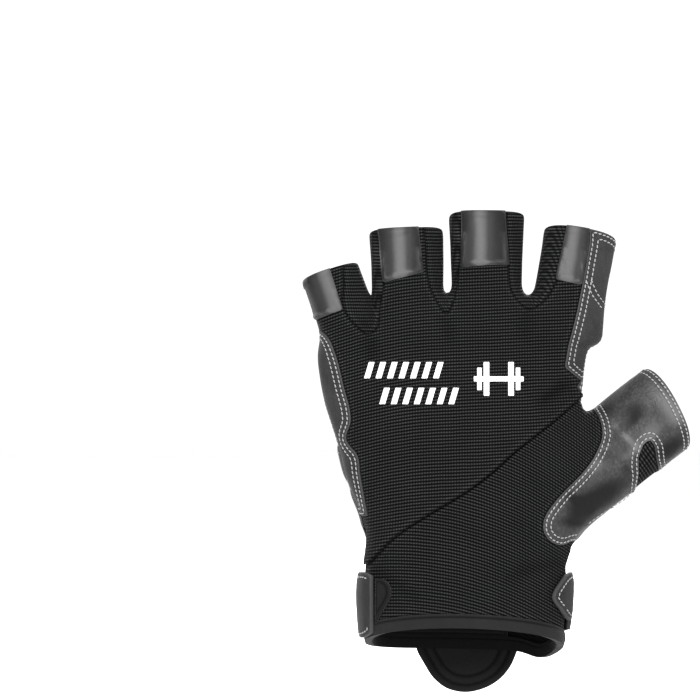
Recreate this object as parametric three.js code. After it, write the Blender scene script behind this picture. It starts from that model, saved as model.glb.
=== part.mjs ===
// Half-finger fitness glove for the left hand, filled as if worn.
// Millimetres, +Z towards the fingertips, +X towards the thumb, +Y the palm side.
// The origin is the middle of the wrist opening.
import * as THREE from "three";

// Driving dimensions
const CELL = 5.3; // edge of the skin mesh
const BACK_WALL = 1.5; // ribbed stretch fabric
const SUEDE_WALL = 2.2; // palm suede with its backing
const LEATHER_WALL = 1.6; // glossy thumb leather
const SEAM_GAP = 0.3; // between neighbouring panels
const BINDING_HEIGHT = 4.7;
const BINDING_OUT = 0.4;
const STRAP_IN = 0.75;
const STRAP_OUT = 3.0;
const OVERLAY_IN = 0.35;
const PATCH_IN = 0.5;
const PATCH_OUT = 1.2;
const INLAY_OUT = 0.95;
const BAR_OUT = 1.3;
const BAR_WIDTH = 1.7;
const HEEL_OUT = 1.6;
const HOOK_OUT = 1.6;
const TONGUE_Y = 19.2;
const TONGUE_LEAN = -0.06;
const TONGUE_THICK = 2.0;
const PAD_THICK = 0.7;

// Hand section by height: left and right edge, depth to the back and to the palm
const BODY = [
  { z: -34, left: -36.5, right: 31.5, back: 17, palm: 17 },
  { z: 0, left: -37.6, right: 33.6, back: 18.5, palm: 18.5 },
  { z: 14, left: -38.2, right: 34.6, back: 18.5, palm: 18.5 },
  { z: 30, left: -37, right: 35, back: 17, palm: 18.5 },
  { z: 40, left: -38, right: 38, back: 16.5, palm: 18.5 },
  { z: 55, left: -43.6, right: 41.5, back: 15.5, palm: 18 },
  { z: 70, left: -47.6, right: 42, back: 14.5, palm: 17 },
  { z: 85, left: -52, right: 40.2, back: 13.5, palm: 15.5 },
  { z: 100, left: -55, right: 41.2, back: 12.5, palm: 13.5 },
  { z: 116, left: -58.5, right: 45.2, back: 11, palm: 12 },
  { z: 130, left: -61, right: 49.5, back: 10.5, palm: 11 },
];
// Crotch height between the fingers across the hand
const CROTCH = [
  { x: -70, z: 104 },
  { x: -56, z: 104 },
  { x: -36, z: 108 },
  { x: -22, z: 117.5 },
  { x: -8.6, z: 120.3 },
  { x: 6, z: 121.5 },
  { x: 20.4, z: 120.3 },
  { x: 34, z: 117 },
  { x: 60, z: 112 },
];
// Finger tubes: axis from base to top, half widths and half depths along it, and how far along the
// finger the back, side and palm edge of its opening lie
const FINGERS = [
  {
    name: "little", baseX: -41.5, baseZ: 104, topX: -51.6, topZ: 135,
    widthLow: 10.8, widthMiddle: 10.2, widthTop: 10.3,
    depthLow: 9.5, depthTop: 8.5,
    edgeBack: 28.2, edgeSide: 26.2, edgePalm: 23.2,
  },
  {
    name: "ring", baseX: -21.6, baseZ: 106, topX: -23.3, topZ: 149.5,
    widthLow: 12.7, widthMiddle: 12.9, widthTop: 13.8,
    depthLow: 10, depthTop: 9,
    edgeBack: 39.6, edgeSide: 37.0, edgePalm: 30.5,
  },
  {
    name: "middle", baseX: 6, baseZ: 106, topX: 6.3, topZ: 149.5,
    widthLow: 13.0, widthMiddle: 12.6, widthTop: 13.9,
    depthLow: 10, depthTop: 9,
    edgeBack: 45.6, edgeSide: 42.3, edgePalm: 34,
  },
  {
    name: "index", baseX: 33.4, baseZ: 106, topX: 39.9, topZ: 144,
    widthLow: 13.6, widthMiddle: 12.7, widthTop: 13.1,
    depthLow: 10, depthTop: 9,
    edgeBack: 40.1, edgeSide: 36.8, edgePalm: 33.2,
  },
];
// Thumb section along its axis: half width, half depth and how far its middle lies to the palm
const THUMB = [
  { along: 20, width: 12, depth: 9, middle: 0 },
  { along: 45, width: 17, depth: 12, middle: 1 },
  { along: 60, width: 16.6, depth: 12.5, middle: 2.5 },
  { along: 75, width: 16.2, depth: 12, middle: 4 },
  { along: 90, width: 15.6, depth: 11.5, middle: 5.5 },
  { along: 106, width: 15.9, depth: 11.5, middle: 7 },
  { along: 120, width: 16, depth: 11.5, middle: 8 },
];
const THUMB_ALONG = [0.8, 0.6];
const THUMB_OFFSET = 21.5;
const THUMB_EDGES = [109, 104.5, 99.5];
const THUMB_LEAN = 0.15;
const MOUTH = -2.3;
const MOUTH_SLANT = -0.27;
const MOUTH_BOW = 2.0; // how far the mouth droops at the sides
const MOUTH_TILT = 0.03;
const MOUTH_CORNER = 2.4; // lower corner of the cuff by the thumb, on the palm side

// Outlines as x and z, seen from the back of the hand for both sides
const THUMB_BACK = [
  [38, 88], [44.3, 80.8], [46.7, 75.8], [47.3, 71.6], [44.9, 64.5], [40.7, 58.5], [34.1, 51.9],
  [28.8, 46], [25.8, 40.6], [25.8, 37], [28.8, 32.8], [32.3, 31.7], [36, 33.0], [60, 33], [110, 60],
  [100, 120], [60, 120],
];
const THUMB_PALM = [
  [40, 87], [35.5, 81], [31.7, 78.1], [24.5, 70.2], [18.9, 59.8], [15.9, 46.1], [14.4, 30],
  [14.2, 20.8], [19.6, 21.0], [24.3, 25.4], [30.4, 29.4], [36, 33], [60, 33], [110, 60], [100, 120],
  [60, 120],
];
const WEB_SPLIT = [
  {
    name: "fourchette_little_ring",
    back: [[-46.2, 150], [-45.4, 124.7], [-45.6, 117.1], [-40.2, 109.5], [-37, 107.5], [-33.6, 109.3],
      [-32.4, 116.5], [-31, 126], [-32.5, 170]],
    palm: [[-42.8, 150], [-42.0, 124], [-38.5, 112], [-35.0, 103.0], [-30.5, 101.0], [-26.5, 104.5],
      [-25.2, 112], [-24.8, 136], [-25.5, 170]],
  },
  {
    name: "fourchette_ring_middle",
    back: [[-18.6, 170], [-15.8, 136], [-15.4, 129], [-13.2, 121.3], [-8.4, 114.9], [-6, 119.5],
      [-3.8, 131.5], [-2.9, 150], [-2.9, 170]],
    palm: [[-10.4, 170], [-10.4, 112], [-8.6, 107.8], [-5.2, 106.3], [-2, 109], [-0.4, 114.5],
      [3.6, 140.8], [3.6, 170]],
  },
  {
    name: "fourchette_middle_index",
    back: [[12.7, 170], [13.4, 132.5], [15.2, 121.5], [21, 116.2], [26.4, 119], [30.6, 125.5],
      [35.2, 146], [36, 170]],
    palm: [[17.3, 170], [17.3, 138], [13.4, 114.5], [15, 109], [18.9, 106.7], [23.5, 108], [27, 112],
      [31.7, 137.5], [33, 170]],
  },
];
const LEATHER_BACK_LEFT = [
  [-90, 111], [-57.3, 110.3], [-52, 106.8], [-48.3, 99.4], [-46.8, 94.2], [-45.6, 89.1], [-43.1, 79.1],
  [-42.9, 76.1], [-44.6, 69.1], [-42.9, 66.6], [-41.1, 64.7], [-39.6, 56.6], [-37.8, 46.7], [-36.8, 42],
  [-90, 41],
];
const LEATHER_BACK_INDEX = [
  [43.4, 170], [42.8, 140], [40.5, 127.1], [38.2, 115.7], [35.2, 103.7], [33.7, 95.3], [40.5, 90],
  [60, 80], [100, 100], [100, 170],
];
const LEATHER_PALM = [
  [-90, 200], [120, 200], [120, 90], [60, 60], [24, 27], [16.5, 24.5], [14.5, 10], [14.5, -40],
  [-34, -40], [-34, 30], [-40, 43], [-90, 46],
];
const OVERLAP_SEAM = [
  [-60, 6], [-35.3, 25.9], [-27.7, 34.3], [-16.3, 42.2], [-8, 47.2], [-1.9, 50.9], [7.2, 57.7],
  [14.8, 64.6], [25.4, 72.9], [32.2, 78.2], [36.7, 82.1], [60, 100],
];
const GUSSET_BACK = [
  [57.5, 46], [59.8, 52], [60.6, 57], [60.2, 63.5], [61.8, 67.8], [64.2, 69.4], [66.2, 66.8],
  [67.0, 62], [68.4, 57], [68, 46],
];
const GUSSET_PALM = [
  [38.5, 33.5], [41, 40.6], [50, 47.8], [60, 55.4], [64.4, 58.8], [67.2, 57.4], [68.8, 48], [50, 30], [38, 28],
];
const PATCHES = [
  { name: "little", points: [[-66, 136], [-52.2, 136], [-45.7, 116], [-51, 114], [-58, 111.4],
    [-66, 109.5]] },
  { name: "ring", points: [[-33.6, 170], [-32.6, 142], [-31.2, 125.6], [-24.3, 127.4], [-16.9, 129.4],
    [-18.6, 144.3], [-20.6, 170]] },
  { name: "middle", points: [[-2.6, 170], [-3.1, 131.0], [5, 131.8], [13.8, 132], [12.4, 151],
    [11.8, 170]] },
  { name: "index", points: [[37.5, 170], [34.6, 145], [30.6, 126.8], [39.9, 124.6], [42.6, 140],
    [43.3, 170]] },
];
const STRAP_PALM = [
  [-80, 24], [-38, 21.3], [-30, 19.6], [30, 19.4], [37, 21.3], [80, 24], [80, 3.6], [38, 3.6],
  [27.7, -3], [1.4, -5.2], [-25.1, -4.8], [-36.7, -1.6], [-80, -1],
];
const STRAP_BACK_LEFT = [
  [-80, 24], [-38, 21.3], [-36, 21.4], [-34.2, 20.6], [-34.0, 0.6], [-36.7, -1.6], [-80, -1],
];
const STRAP_BACK_RIGHT = [
  [80, 24], [37, 21.3], [34.2, 21.6], [30.2, 17.6], [28.2, 13.3], [30.6, 9.2], [34.6, 4.2],
  [38, 3.6], [80, 3.6],
];
const HOOK_TAB = [[-33.6, 19.8], [-30.6, 19.4], [-28.8, 17.4], [-28.4, 14.4], [-29.6, 11.2],
  [-31.8, 7.4], [-33.6, 3.2]];
const HEEL_PANEL = [
  [-47.8, 67.3], [-41.9, 66.0], [-34.4, 63.2], [-27, 57.6], [-20.4, 50.3], [-14.9, 41.9], [-9.9, 31],
  [-7.4, 20.6], [-30, 20.8], [-36, 22.4], [-36, 30], [-38.5, 40], [-42.8, 50], [-46, 59],
];
const TONGUE = [
  [18.6, -6.0], [17.4, -9.5], [15.4, -14], [11.6, -18.6], [6.0, -22.0], [-1.2, -23.5], [-8, -22],
  [-12.8, -18.2], [-16.4, -12.6], [-18.6, -8.6], [-19.4, -6.0],
];
const TONGUE_PAD = [
  [14.0, -8.2], [12.8, -11.8], [9.6, -15.8], [4.8, -18.6], [-1.2, -19.6], [-6.8, -18.4],
  [-10.8, -15.2], [-13.6, -11.4], [-14.8, -8.2],
];
// Grip bars: top height, then step; the field narrows to both sides going down
const BAR_HEIGHTS = [73, 68.8, 65, 60.9, 56.8, 52.7, 48.7, 45.3, 42.5, 39.9, 37.2, 34.6, 32.1, 29.6, 26.8];
const BAR_FALL = 1.6; // from the thumb side to the other end
const BAR_LEFT = [
  { z: 24.6, x: -6.5 },
  { z: 28.4, x: -7.4 },
  { z: 32.6, x: -8.7 },
  { z: 37.1, x: -10.7 },
  { z: 40.2, x: -11.8 },
  { z: 42.8, x: -12.9 },
  { z: 45, x: -14.1 },
  { z: 48.3, x: -16.9 },
  { z: 52.8, x: -19.5 },
  { z: 56.6, x: -22.5 },
  { z: 60.9, x: -25.9 },
  { z: 65, x: -29.8 },
  { z: 68.8, x: -34.0 },
  { z: 73, x: -38.3 },
];
const BAR_RIGHT = [
  { z: 24.6, x: -4.2 },
  { z: 30.8, x: -3.4 },
  { z: 42.8, x: -1.4 },
  { z: 48.3, x: 0.4 },
  { z: 56.6, x: 3.1 },
  { z: 65, x: 6.7 },
  { z: 73, x: 11.5 },
];
// Inlays on the palm side of the fingers: centre, and lean from upright in degrees
const INLAYS = [
  { name: "little", x: -48.6, z: 110, lean: 13 },
  { name: "ring", x: -17.8, z: 120, lean: 0 },
  { name: "middle", x: 7.6, z: 124, lean: -1 },
  { name: "index", x: 38.2, z: 123, lean: -9 },
];
const INLAY_LONG = 20.5;
const INLAY_WIDE = 5.4;

// Smooth curve through one column of a table, looked up by its key column
function curve(rows, key, column, at) {
  const last = rows.length - 1;
  const q = Math.min(Math.max(at, rows[0][key]), rows[last][key]);
  let i = 0;
  while (i < last - 1 && rows[i + 1][key] <= q) i += 1;
  const slope = (k) => {
    const a = rows[Math.max(k - 1, 0)];
    const b = rows[Math.min(k + 1, last)];
    return (b[column] - a[column]) / (b[key] - a[key]);
  };
  const h = rows[i + 1][key] - rows[i][key];
  const t = (q - rows[i][key]) / h;
  const t2 = t * t;
  const t3 = t2 * t;
  return (2 * t3 - 3 * t2 + 1) * rows[i][column] + (t3 - 2 * t2 + t) * h * slope(i)
    + (3 * t2 - 2 * t3) * rows[i + 1][column] + (t3 - t2) * h * slope(i + 1);
}

// Straight lines through one column of a table
function lines(rows, key, column, at) {
  const last = rows.length - 1;
  const q = Math.min(Math.max(at, rows[0][key]), rows[last][key]);
  let i = 0;
  while (i < last - 1 && rows[i + 1][key] <= q) i += 1;
  const t = (q - rows[i][key]) / (rows[i + 1][key] - rows[i][key]);
  return rows[i][column] * (1 - t) + rows[i + 1][column] * t;
}

const clamp = (v, low, high) => Math.min(Math.max(v, low), high);

function smooth(low, high, v) {
  const t = clamp((v - low) / (high - low), 0, 1);
  return t * t * (3 - 2 * t);
}

function softMin(a, b, k) {
  const h = clamp(0.5 + (0.5 * (b - a)) / k, 0, 1);
  return b * (1 - h) + a * h - k * h * (1 - h);
}

const softMax = (a, b, k) => -softMin(-a, -b, k);

// Distance to an oval section with squared shoulders
function oval(u, v, power, a, b) {
  const au = Math.abs(u) / a + 1e-9;
  const av = Math.abs(v) / b + 1e-9;
  const r = Math.pow(Math.pow(au, power) + Math.pow(av, power), 1 / power);
  const gu = Math.pow(au / r, power - 1) / a;
  const gv = Math.pow(av / r, power - 1) / b;
  return (r - 1) / Math.hypot(gu, gv);
}

// The fingers curl a little towards the palm
const curl = (z) => 6 * Math.pow(Math.max((z - 60) / 90, 0), 2);
const thumbAlong = (x, z) => THUMB_ALONG[0] * x + THUMB_ALONG[1] * z;
const thumbAcross = (x, z) => -THUMB_ALONG[1] * x + THUMB_ALONG[0] * z - THUMB_OFFSET;

function bodyField(x, y, z) {
  const left = curve(BODY, "z", "left", z);
  const right = curve(BODY, "z", "right", z);
  const v = y - curl(z);
  const depth = curve(BODY, "z", v < 0 ? "back" : "palm", z);
  const d = oval(x - (left + right) / 2, v, 2.5, (right - left) / 2, depth);
  return softMax(d, z - curve(CROTCH, "x", "z", x), 9);
}

function fingerPlace(finger, x, z) {
  const { baseX: bx, baseZ: bz, topX: tx, topZ: tz } = finger;
  const length = Math.hypot(tx - bx, tz - bz);
  const ux = (tx - bx) / length;
  const uz = (tz - bz) / length;
  return [(x - bx) * ux + (z - bz) * uz, (x - bx) * uz - (z - bz) * ux, length];
}

function fingerField(finger, x, y, z) {
  const [along, across, length] = fingerPlace(finger, x, z);
  const { widthLow: w0, widthMiddle: w1, widthTop: w2, depthLow: d0, depthTop: d1 } = finger;
  const s = clamp(along / length, 0, 1.3);
  const w = w0 * (2 * s - 1) * (s - 1) + w1 * 4 * s * (1 - s) + w2 * s * (2 * s - 1);
  const depth = d0 + (d1 - d0) * Math.min(s, 1.2);
  const d = oval(across, y - curl(z), 2.4, w, depth);
  return softMax(d, -along, 4);
}

function thumbField(x, y, z) {
  const u = thumbAlong(x, z);
  const v = y - curve(THUMB, "along", "middle", u);
  const width = curve(THUMB, "along", "width", u);
  const d = oval(thumbAcross(x, z), v, 2.2, width, curve(THUMB, "along", "depth", u));
  return softMax(d, 24 - u, 6);
}

function skinField(x, y, z) {
  let fingers = 30;
  for (const finger of FINGERS) fingers = softMin(fingers, fingerField(finger, x, y, z), 2.5);
  return softMin(softMin(bodyField(x, y, z), fingers, 5), thumbField(x, y, z), 6);
}

function gradient(x, y, z) {
  const e = 0.05;
  const g = [
    skinField(x + e, y, z) - skinField(x - e, y, z),
    skinField(x, y + e, z) - skinField(x, y - e, z),
    skinField(x, y, z + e) - skinField(x, y, z - e),
  ];
  return g.map((v) => v / (2 * e));
}

function toSkin(p) {
  const out = [...p];
  for (let i = 0; i < 4; i += 1) {
    const f = skinField(...out);
    const g = gradient(...out);
    const gg = Math.max(g[0] * g[0] + g[1] * g[1] + g[2] * g[2], 0.05);
    for (let k = 0; k < 3; k += 1) out[k] -= (f * g[k]) / gg;
  }
  return out;
}

// Which side of the hand a point is on: negative is the back
function side(p) {
  const u = thumbAlong(p[0], p[2]);
  const onThumb = smooth(40, 70, u) * (1 - smooth(16, 24, thumbAcross(p[0], p[2])));
  return p[1] - (curl(p[2]) * (1 - onThumb) + curve(THUMB, "along", "middle", u) * onThumb);
}

// Signed distance to a closed outline, negative inside
function outline(points, x, z) {
  let best = 1e18;
  let inside = false;
  for (let i = 0, j = points.length - 1; i < points.length; j = i, i += 1) {
    const [ax, az] = points[j];
    const [bx, bz] = points[i];
    const ex = bx - ax;
    const ez = bz - az;
    const t = clamp(((x - ax) * ex + (z - az) * ez) / (ex * ex + ez * ez), 0, 1);
    const d = Math.hypot(x - ax - ex * t, z - az - ez * t);
    if (d < best) best = d;
    if ((az > z) !== (bz > z) && x < ax + ((z - az) * ex) / ez) inside = !inside;
  }
  return inside ? -best : best;
}

function twoSided(back, palm) {
  return (p) => outline(side(p) < 0 ? back : palm, p[0], p[2]);
}

// Skin mesh by surface nets: one vertex in each cell that the skin passes through
function skinMesh() {
  const low = [-72.6, -26, -16];
  const size = [158, 56, 176];
  const n = size.map((v) => Math.ceil(v / CELL) + 1);
  const key = (i, j, k) => (k * n[1] + j) * n[0] + i;
  const value = new Float64Array(n[0] * n[1] * n[2]);
  const at = (i, j, k) => [low[0] + i * CELL, low[1] + j * CELL, low[2] + k * CELL];
  for (let k = 0; k < n[2]; k += 1) {
    for (let j = 0; j < n[1]; j += 1) {
      for (let i = 0; i < n[0]; i += 1) value[key(i, j, k)] = skinField(...at(i, j, k));
    }
  }
  const points = [];
  const cell = new Map();
  const edges = [];
  for (let a = 0; a < 8; a += 1) {
    for (let bit = 1; bit < 8; bit *= 2) if (!(a & bit)) edges.push([a, a | bit]);
  }
  for (let k = 0; k < n[2] - 1; k += 1) {
    for (let j = 0; j < n[1] - 1; j += 1) {
      for (let i = 0; i < n[0] - 1; i += 1) {
        const f = (c) => value[key(i + (c & 1), j + ((c >> 1) & 1), k + ((c >> 2) & 1))];
        let count = 0;
        const sum = [0, 0, 0];
        for (const [a, b] of edges) {
          const fa = f(a);
          const fb = f(b);
          if ((fa < 0) === (fb < 0)) continue;
          const t = fa / (fa - fb);
          const pa = at(i + (a & 1), j + ((a >> 1) & 1), k + ((a >> 2) & 1));
          const pb = at(i + (b & 1), j + ((b >> 1) & 1), k + ((b >> 2) & 1));
          for (let c = 0; c < 3; c += 1) sum[c] += pa[c] * (1 - t) + pb[c] * t;
          count += 1;
        }
        if (!count) continue;
        cell.set(key(i, j, k), points.length);
        points.push(sum.map((v) => v / count));
      }
    }
  }
  const quads = [];
  for (let k = 1; k < n[2] - 1; k += 1) {
    for (let j = 1; j < n[1] - 1; j += 1) {
      for (let i = 1; i < n[0] - 1; i += 1) {
        const here = value[key(i, j, k)] < 0;
        const faces = [
          [value[key(i + 1, j, k)] < 0, [[0, -1, -1], [0, 0, -1], [0, 0, 0], [0, -1, 0]]],
          [value[key(i, j + 1, k)] < 0, [[-1, 0, -1], [-1, 0, 0], [0, 0, 0], [0, 0, -1]]],
          [value[key(i, j, k + 1)] < 0, [[-1, -1, 0], [0, -1, 0], [0, 0, 0], [-1, 0, 0]]],
        ];
        for (const [there, corners] of faces) {
          if (here === there) continue;
          const quad = corners.map(([di, dj, dk]) => cell.get(key(i + di, j + dj, k + dk)));
          if (quad.includes(undefined)) continue;
          quads.push(here ? quad : quad.reverse());
        }
      }
    }
  }
  // Even out the spacing along the skin
  const near = points.map(() => new Set());
  for (const quad of quads) {
    for (let c = 0; c < 4; c += 1) {
      near[quad[c]].add(quad[(c + 1) % 4]);
      near[quad[(c + 1) % 4]].add(quad[c]);
    }
  }
  for (let pass = 0; pass < 3; pass += 1) {
    const moved = points.map((p, i) => {
      if (near[i].size < 3) return p;
      const mean = [0, 0, 0];
      for (const q of near[i]) for (let c = 0; c < 3; c += 1) mean[c] += points[q][c] / near[i].size;
      return toSkin(p.map((v, c) => v * 0.5 + mean[c] * 0.5));
    });
    moved.forEach((p, i) => { points[i] = p; });
  }
  const faces = [];
  const gap = (a, b) => Math.hypot(...points[a].map((v, c) => v - points[b][c]));
  for (const [a, b, c, d] of quads) {
    if (gap(a, c) <= gap(b, d)) faces.push([a, b, c], [a, c, d]);
    else faces.push([a, b, d], [b, c, d]);
  }
  return { points, faces, fixed: points.map(() => false) };
}

// Edge of an opening: three lengths, for the back, the side and the palm
function rim(edges, depth) {
  const t = clamp(depth, -1.3, 1.3);
  const [back, flank, palm] = edges;
  return flank + ((palm - back) / 2) * t + ((palm + back) / 2 - flank) * t * t;
}

// Height of the wrist opening's edge
function mouthHeight(p) {
  const v = p[1] - curl(p[2]);
  const corner = MOUTH_CORNER * Math.exp(-(((p[0] - 27) / 6) ** 2)) * smooth(0, 12, v);
  return MOUTH + MOUTH_SLANT * v - MOUTH_BOW * (p[0] / 36) ** 2 - MOUTH_TILT * p[0] - corner;
}

// Positive beyond the opening of a finger, the thumb or the wrist
function openings(p) {
  const [x, y, z] = p;
  let f = mouthHeight(p) - z;
  let closest = null;
  let nearest = 1e9;
  for (const finger of FINGERS) {
    const [along, across] = fingerPlace(finger, x, z);
    if (along > 8 && Math.abs(across) < nearest) {
      nearest = Math.abs(across);
      closest = finger;
    }
  }
  if (closest && thumbAcross(x, z) > 24) {
    const [along] = fingerPlace(closest, x, z);
    const edges = [closest.edgeBack, closest.edgeSide, closest.edgePalm];
    f = Math.max(f, along - rim(edges, (y - curl(z)) / closest.depthTop));
  } else if (x > 45) {
    const u = thumbAlong(x, z);
    const depth = (y - curve(THUMB, "along", "middle", u)) / curve(THUMB, "along", "depth", u);
    f = Math.max(f, u - THUMB_LEAN * thumbAcross(x, z) - rim(THUMB_EDGES, depth));
  }
  return f;
}

const between = (list, a, b, t) => list[a].map((v, c) => v * (1 - t) + list[b][c] * t);
const minus = (a, b) => a.map((v, c) => v - b[c]);
const dot = (a, b) => a[0] * b[0] + a[1] * b[1] + a[2] * b[2];
const cross3 = (a, b) => [a[1] * b[2] - a[2] * b[1], a[2] * b[0] - a[0] * b[2], a[0] * b[1] - a[1] * b[0]];

function unit(a) {
  const n = Math.hypot(...a) || 1;
  return a.map((v) => v / n);
}

// Moves free corners that lie close to the zero line of a field on to it
function snapToLine(mesh, near, f, onSkin) {
  const { points, fixed, normals } = mesh;
  const snaps = [];
  for (const [i, others] of near) {
    for (const q of others) {
      if (f.get(i) * f.get(q) >= 0) continue;
      const t = f.get(i) / (f.get(i) - f.get(q));
      const length = Math.hypot(...minus(points[i], points[q]));
      const reach = fixed[i] ? 0.3 : Math.min(0.3 * length, 1.4);
      if (t * length < reach) snaps.push([t * length, t, i, q]);
    }
  }
  snaps.sort((a, b) => a[0] - b[0]);
  for (const [, t, i, q] of snaps) {
    if (f.get(i) * f.get(q) >= 0) continue;
    if (!fixed[i]) {
      points[i] = onSkin ? toSkin(between(points, i, q, t)) : between(points, i, q, t);
      if (!onSkin) normals[i] = between(normals, i, q, t);
    }
    f.set(i, 0);
    fixed[i] = true;
  }
}

// Cuts the faces of one label along the zero line of a field and labels both sides
function split(mesh, from, low, high, field, onSkin = true) {
  const { points, fixed } = mesh;
  const near = new Map();
  mesh.faces.forEach((tri, n) => {
    if (mesh.labels[n] !== from) return;
    for (let c = 0; c < 3; c += 1) {
      if (!near.has(tri[c])) near.set(tri[c], new Set());
      near.get(tri[c]).add(tri[(c + 1) % 3]).add(tri[(c + 2) % 3]);
    }
  });
  const f = new Map();
  for (const i of near.keys()) f.set(i, field(points[i]));
  snapToLine(mesh, near, f, onSkin);
  const made = new Map();
  const cross = (a, b) => {
    const id = a < b ? `${a},${b}` : `${b},${a}`;
    if (!made.has(id)) {
      const t = f.get(a) / (f.get(a) - f.get(b));
      const p = between(points, a, b, t);
      made.set(id, points.length);
      points.push(onSkin ? toSkin(p) : p);
      if (!onSkin) mesh.normals.push(between(mesh.normals, a, b, t));
      fixed.push(true);
      f.set(points.length - 1, 0);
    }
    return made.get(id);
  };
  const faces = [];
  const labels = [];
  const keep = (tri, label) => {
    faces.push(tri);
    labels.push(label);
  };
  mesh.faces.forEach((tri, n) => {
    if (mesh.labels[n] !== from) {
      keep(tri, mesh.labels[n]);
      return;
    }
    const under = tri.some((i) => f.get(i) < 0);
    const over = tri.some((i) => f.get(i) > 0);
    if (!(under && over)) {
      const [a, b, c] = tri.map((i) => points[i]);
      const middle = a.map((v, k) => (v + b[k] + c[k]) / 3);
      keep(tri, under || (!over && field(middle) < 0) ? low : high);
      return;
    }
    for (const want of [-1, 1]) {
      const ring = [];
      for (let c = 0; c < 3; c += 1) {
        const a = tri[c];
        const b = tri[(c + 1) % 3];
        if (f.get(a) * want >= 0) ring.push(a);
        if (f.get(a) * f.get(b) < 0) ring.push(cross(a, b));
      }
      for (let c = 1; c < ring.length - 1; c += 1) keep([ring[0], ring[c], ring[c + 1]], want < 0 ? low : high);
    }
  });
  mesh.faces = faces;
  mesh.labels = labels;
}

// The largest connected piece of one label, with its own corner numbers
function pickPanel(mesh, label) {
  const faces = mesh.faces.filter((_, n) => mesh.labels[n] === label);
  const group = faces.map((_, n) => n);
  const root = (n) => {
    let r = n;
    while (group[r] !== r) r = group[r];
    return r;
  };
  const byEdge = new Map();
  faces.forEach((tri, n) => {
    for (let c = 0; c < 3; c += 1) {
      const [a, b] = [tri[c], tri[(c + 1) % 3]].sort((p, q) => p - q);
      const id = `${a},${b}`;
      if (byEdge.has(id)) group[root(n)] = root(byEdge.get(id));
      else byEdge.set(id, n);
    }
  });
  const area = new Map();
  faces.forEach((tri, n) => {
    const [a, b, c] = tri.map((i) => mesh.points[i]);
    const r = root(n);
    area.set(r, (area.get(r) || 0) + Math.hypot(...cross3(minus(b, a), minus(c, a))) / 2);
  });
  const best = [...area.entries()].sort((a, b) => b[1] - a[1])[0][0];
  const renumber = new Map();
  const out = { points: [], normals: [], faces: [] };
  faces.forEach((tri, n) => {
    if (root(n) !== best) return;
    out.faces.push(tri.map((i) => {
      if (!renumber.has(i)) {
        renumber.set(i, out.points.length);
        out.points.push([...mesh.points[i]]);
        out.normals.push([...mesh.normals[i]]);
      }
      return renumber.get(i);
    }));
  });
  return out;
}

// Border edges in the direction of their faces
function borderEdges(mesh) {
  const seen = new Set();
  for (const tri of mesh.faces) for (let c = 0; c < 3; c += 1) seen.add(`${tri[c]},${tri[(c + 1) % 3]}`);
  const out = [];
  for (const tri of mesh.faces) {
    for (let c = 0; c < 3; c += 1) {
      const a = tri[c];
      const b = tri[(c + 1) % 3];
      if (!seen.has(`${b},${a}`)) out.push([a, b]);
    }
  }
  return out;
}

// Joins the two corners of each edge shorter than the limit, where the mesh stays sound
function joinShort(mesh, limit) {
  for (let pass = 0; pass < 200; pass += 1) {
    const near = new Map();
    const count = new Map();
    for (const tri of mesh.faces) {
      for (let c = 0; c < 3; c += 1) {
        const [a, b] = [tri[c], tri[(c + 1) % 3]];
        if (!near.has(a)) near.set(a, new Set());
        if (!near.has(b)) near.set(b, new Set());
        near.get(a).add(b);
        near.get(b).add(a);
        const id = a < b ? `${a},${b}` : `${b},${a}`;
        count.set(id, (count.get(id) || 0) + 1);
      }
    }
    const onBorder = new Set();
    for (const [id, n] of count) if (n === 1) for (const v of id.split(",")) onBorder.add(Number(v));
    let pair = null;
    let shortest = limit;
    for (const [id, n] of count) {
      const [a, b] = id.split(",").map(Number);
      const length = Math.hypot(...minus(mesh.points[a], mesh.points[b]));
      if (length >= shortest) continue;
      const shared = [...near.get(a)].filter((v) => near.get(b).has(v)).length;
      if (shared !== n) continue;
      if (n === 2 && onBorder.has(a) && onBorder.has(b)) continue;
      shortest = length;
      pair = onBorder.has(b) && !onBorder.has(a) ? [b, a] : [a, b];
    }
    if (!pair) return mesh;
    const [stay, gone] = pair;
    mesh.faces = mesh.faces.map((tri) => tri.map((i) => (i === gone ? stay : i)))
      .filter((tri) => tri[0] !== tri[1] && tri[1] !== tri[2] && tri[2] !== tri[0]);
  }
  return mesh;
}

// Draws the border of a panel inwards along the skin
function shrinkBorder(mesh, amount) {
  const pull = new Map();
  for (const [a, b] of borderEdges(mesh)) {
    const along = unit(minus(mesh.points[b], mesh.points[a]));
    for (const i of [a, b]) {
      const inward = unit(cross3(mesh.normals[i], along));
      const sum = pull.get(i) || [0, 0, 0];
      pull.set(i, sum.map((v, c) => v + inward[c]));
    }
  }
  for (const [i, sum] of pull) {
    const way = unit(sum);
    const spread = Math.max(Math.hypot(...sum) / 2, 0.6);
    mesh.points[i] = mesh.points[i].map((v, c) => v + (way[c] * amount) / spread);
  }
  return mesh;
}

// Closed solid between two distances along the skin normals
function thicken(mesh, inner, outer) {
  const used = [...new Set(mesh.faces.flat())];
  const index = new Map(used.map((v, n) => [v, n]));
  const n = used.length;
  const place = (off) => used.map((i) => mesh.points[i].map((v, c) => v + mesh.normals[i][c] * off));
  const points = [...place(outer), ...place(inner)];
  const faces = [];
  for (const tri of mesh.faces) {
    const [a, b, c] = tri.map((i) => index.get(i));
    faces.push([a, b, c], [a + n, c + n, b + n]);
  }
  for (const edge of borderEdges(mesh)) {
    const [a, b] = edge.map((i) => index.get(i));
    faces.push([b, a, a + n], [b, a + n, b + n]);
  }
  return { points, faces };
}

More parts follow.
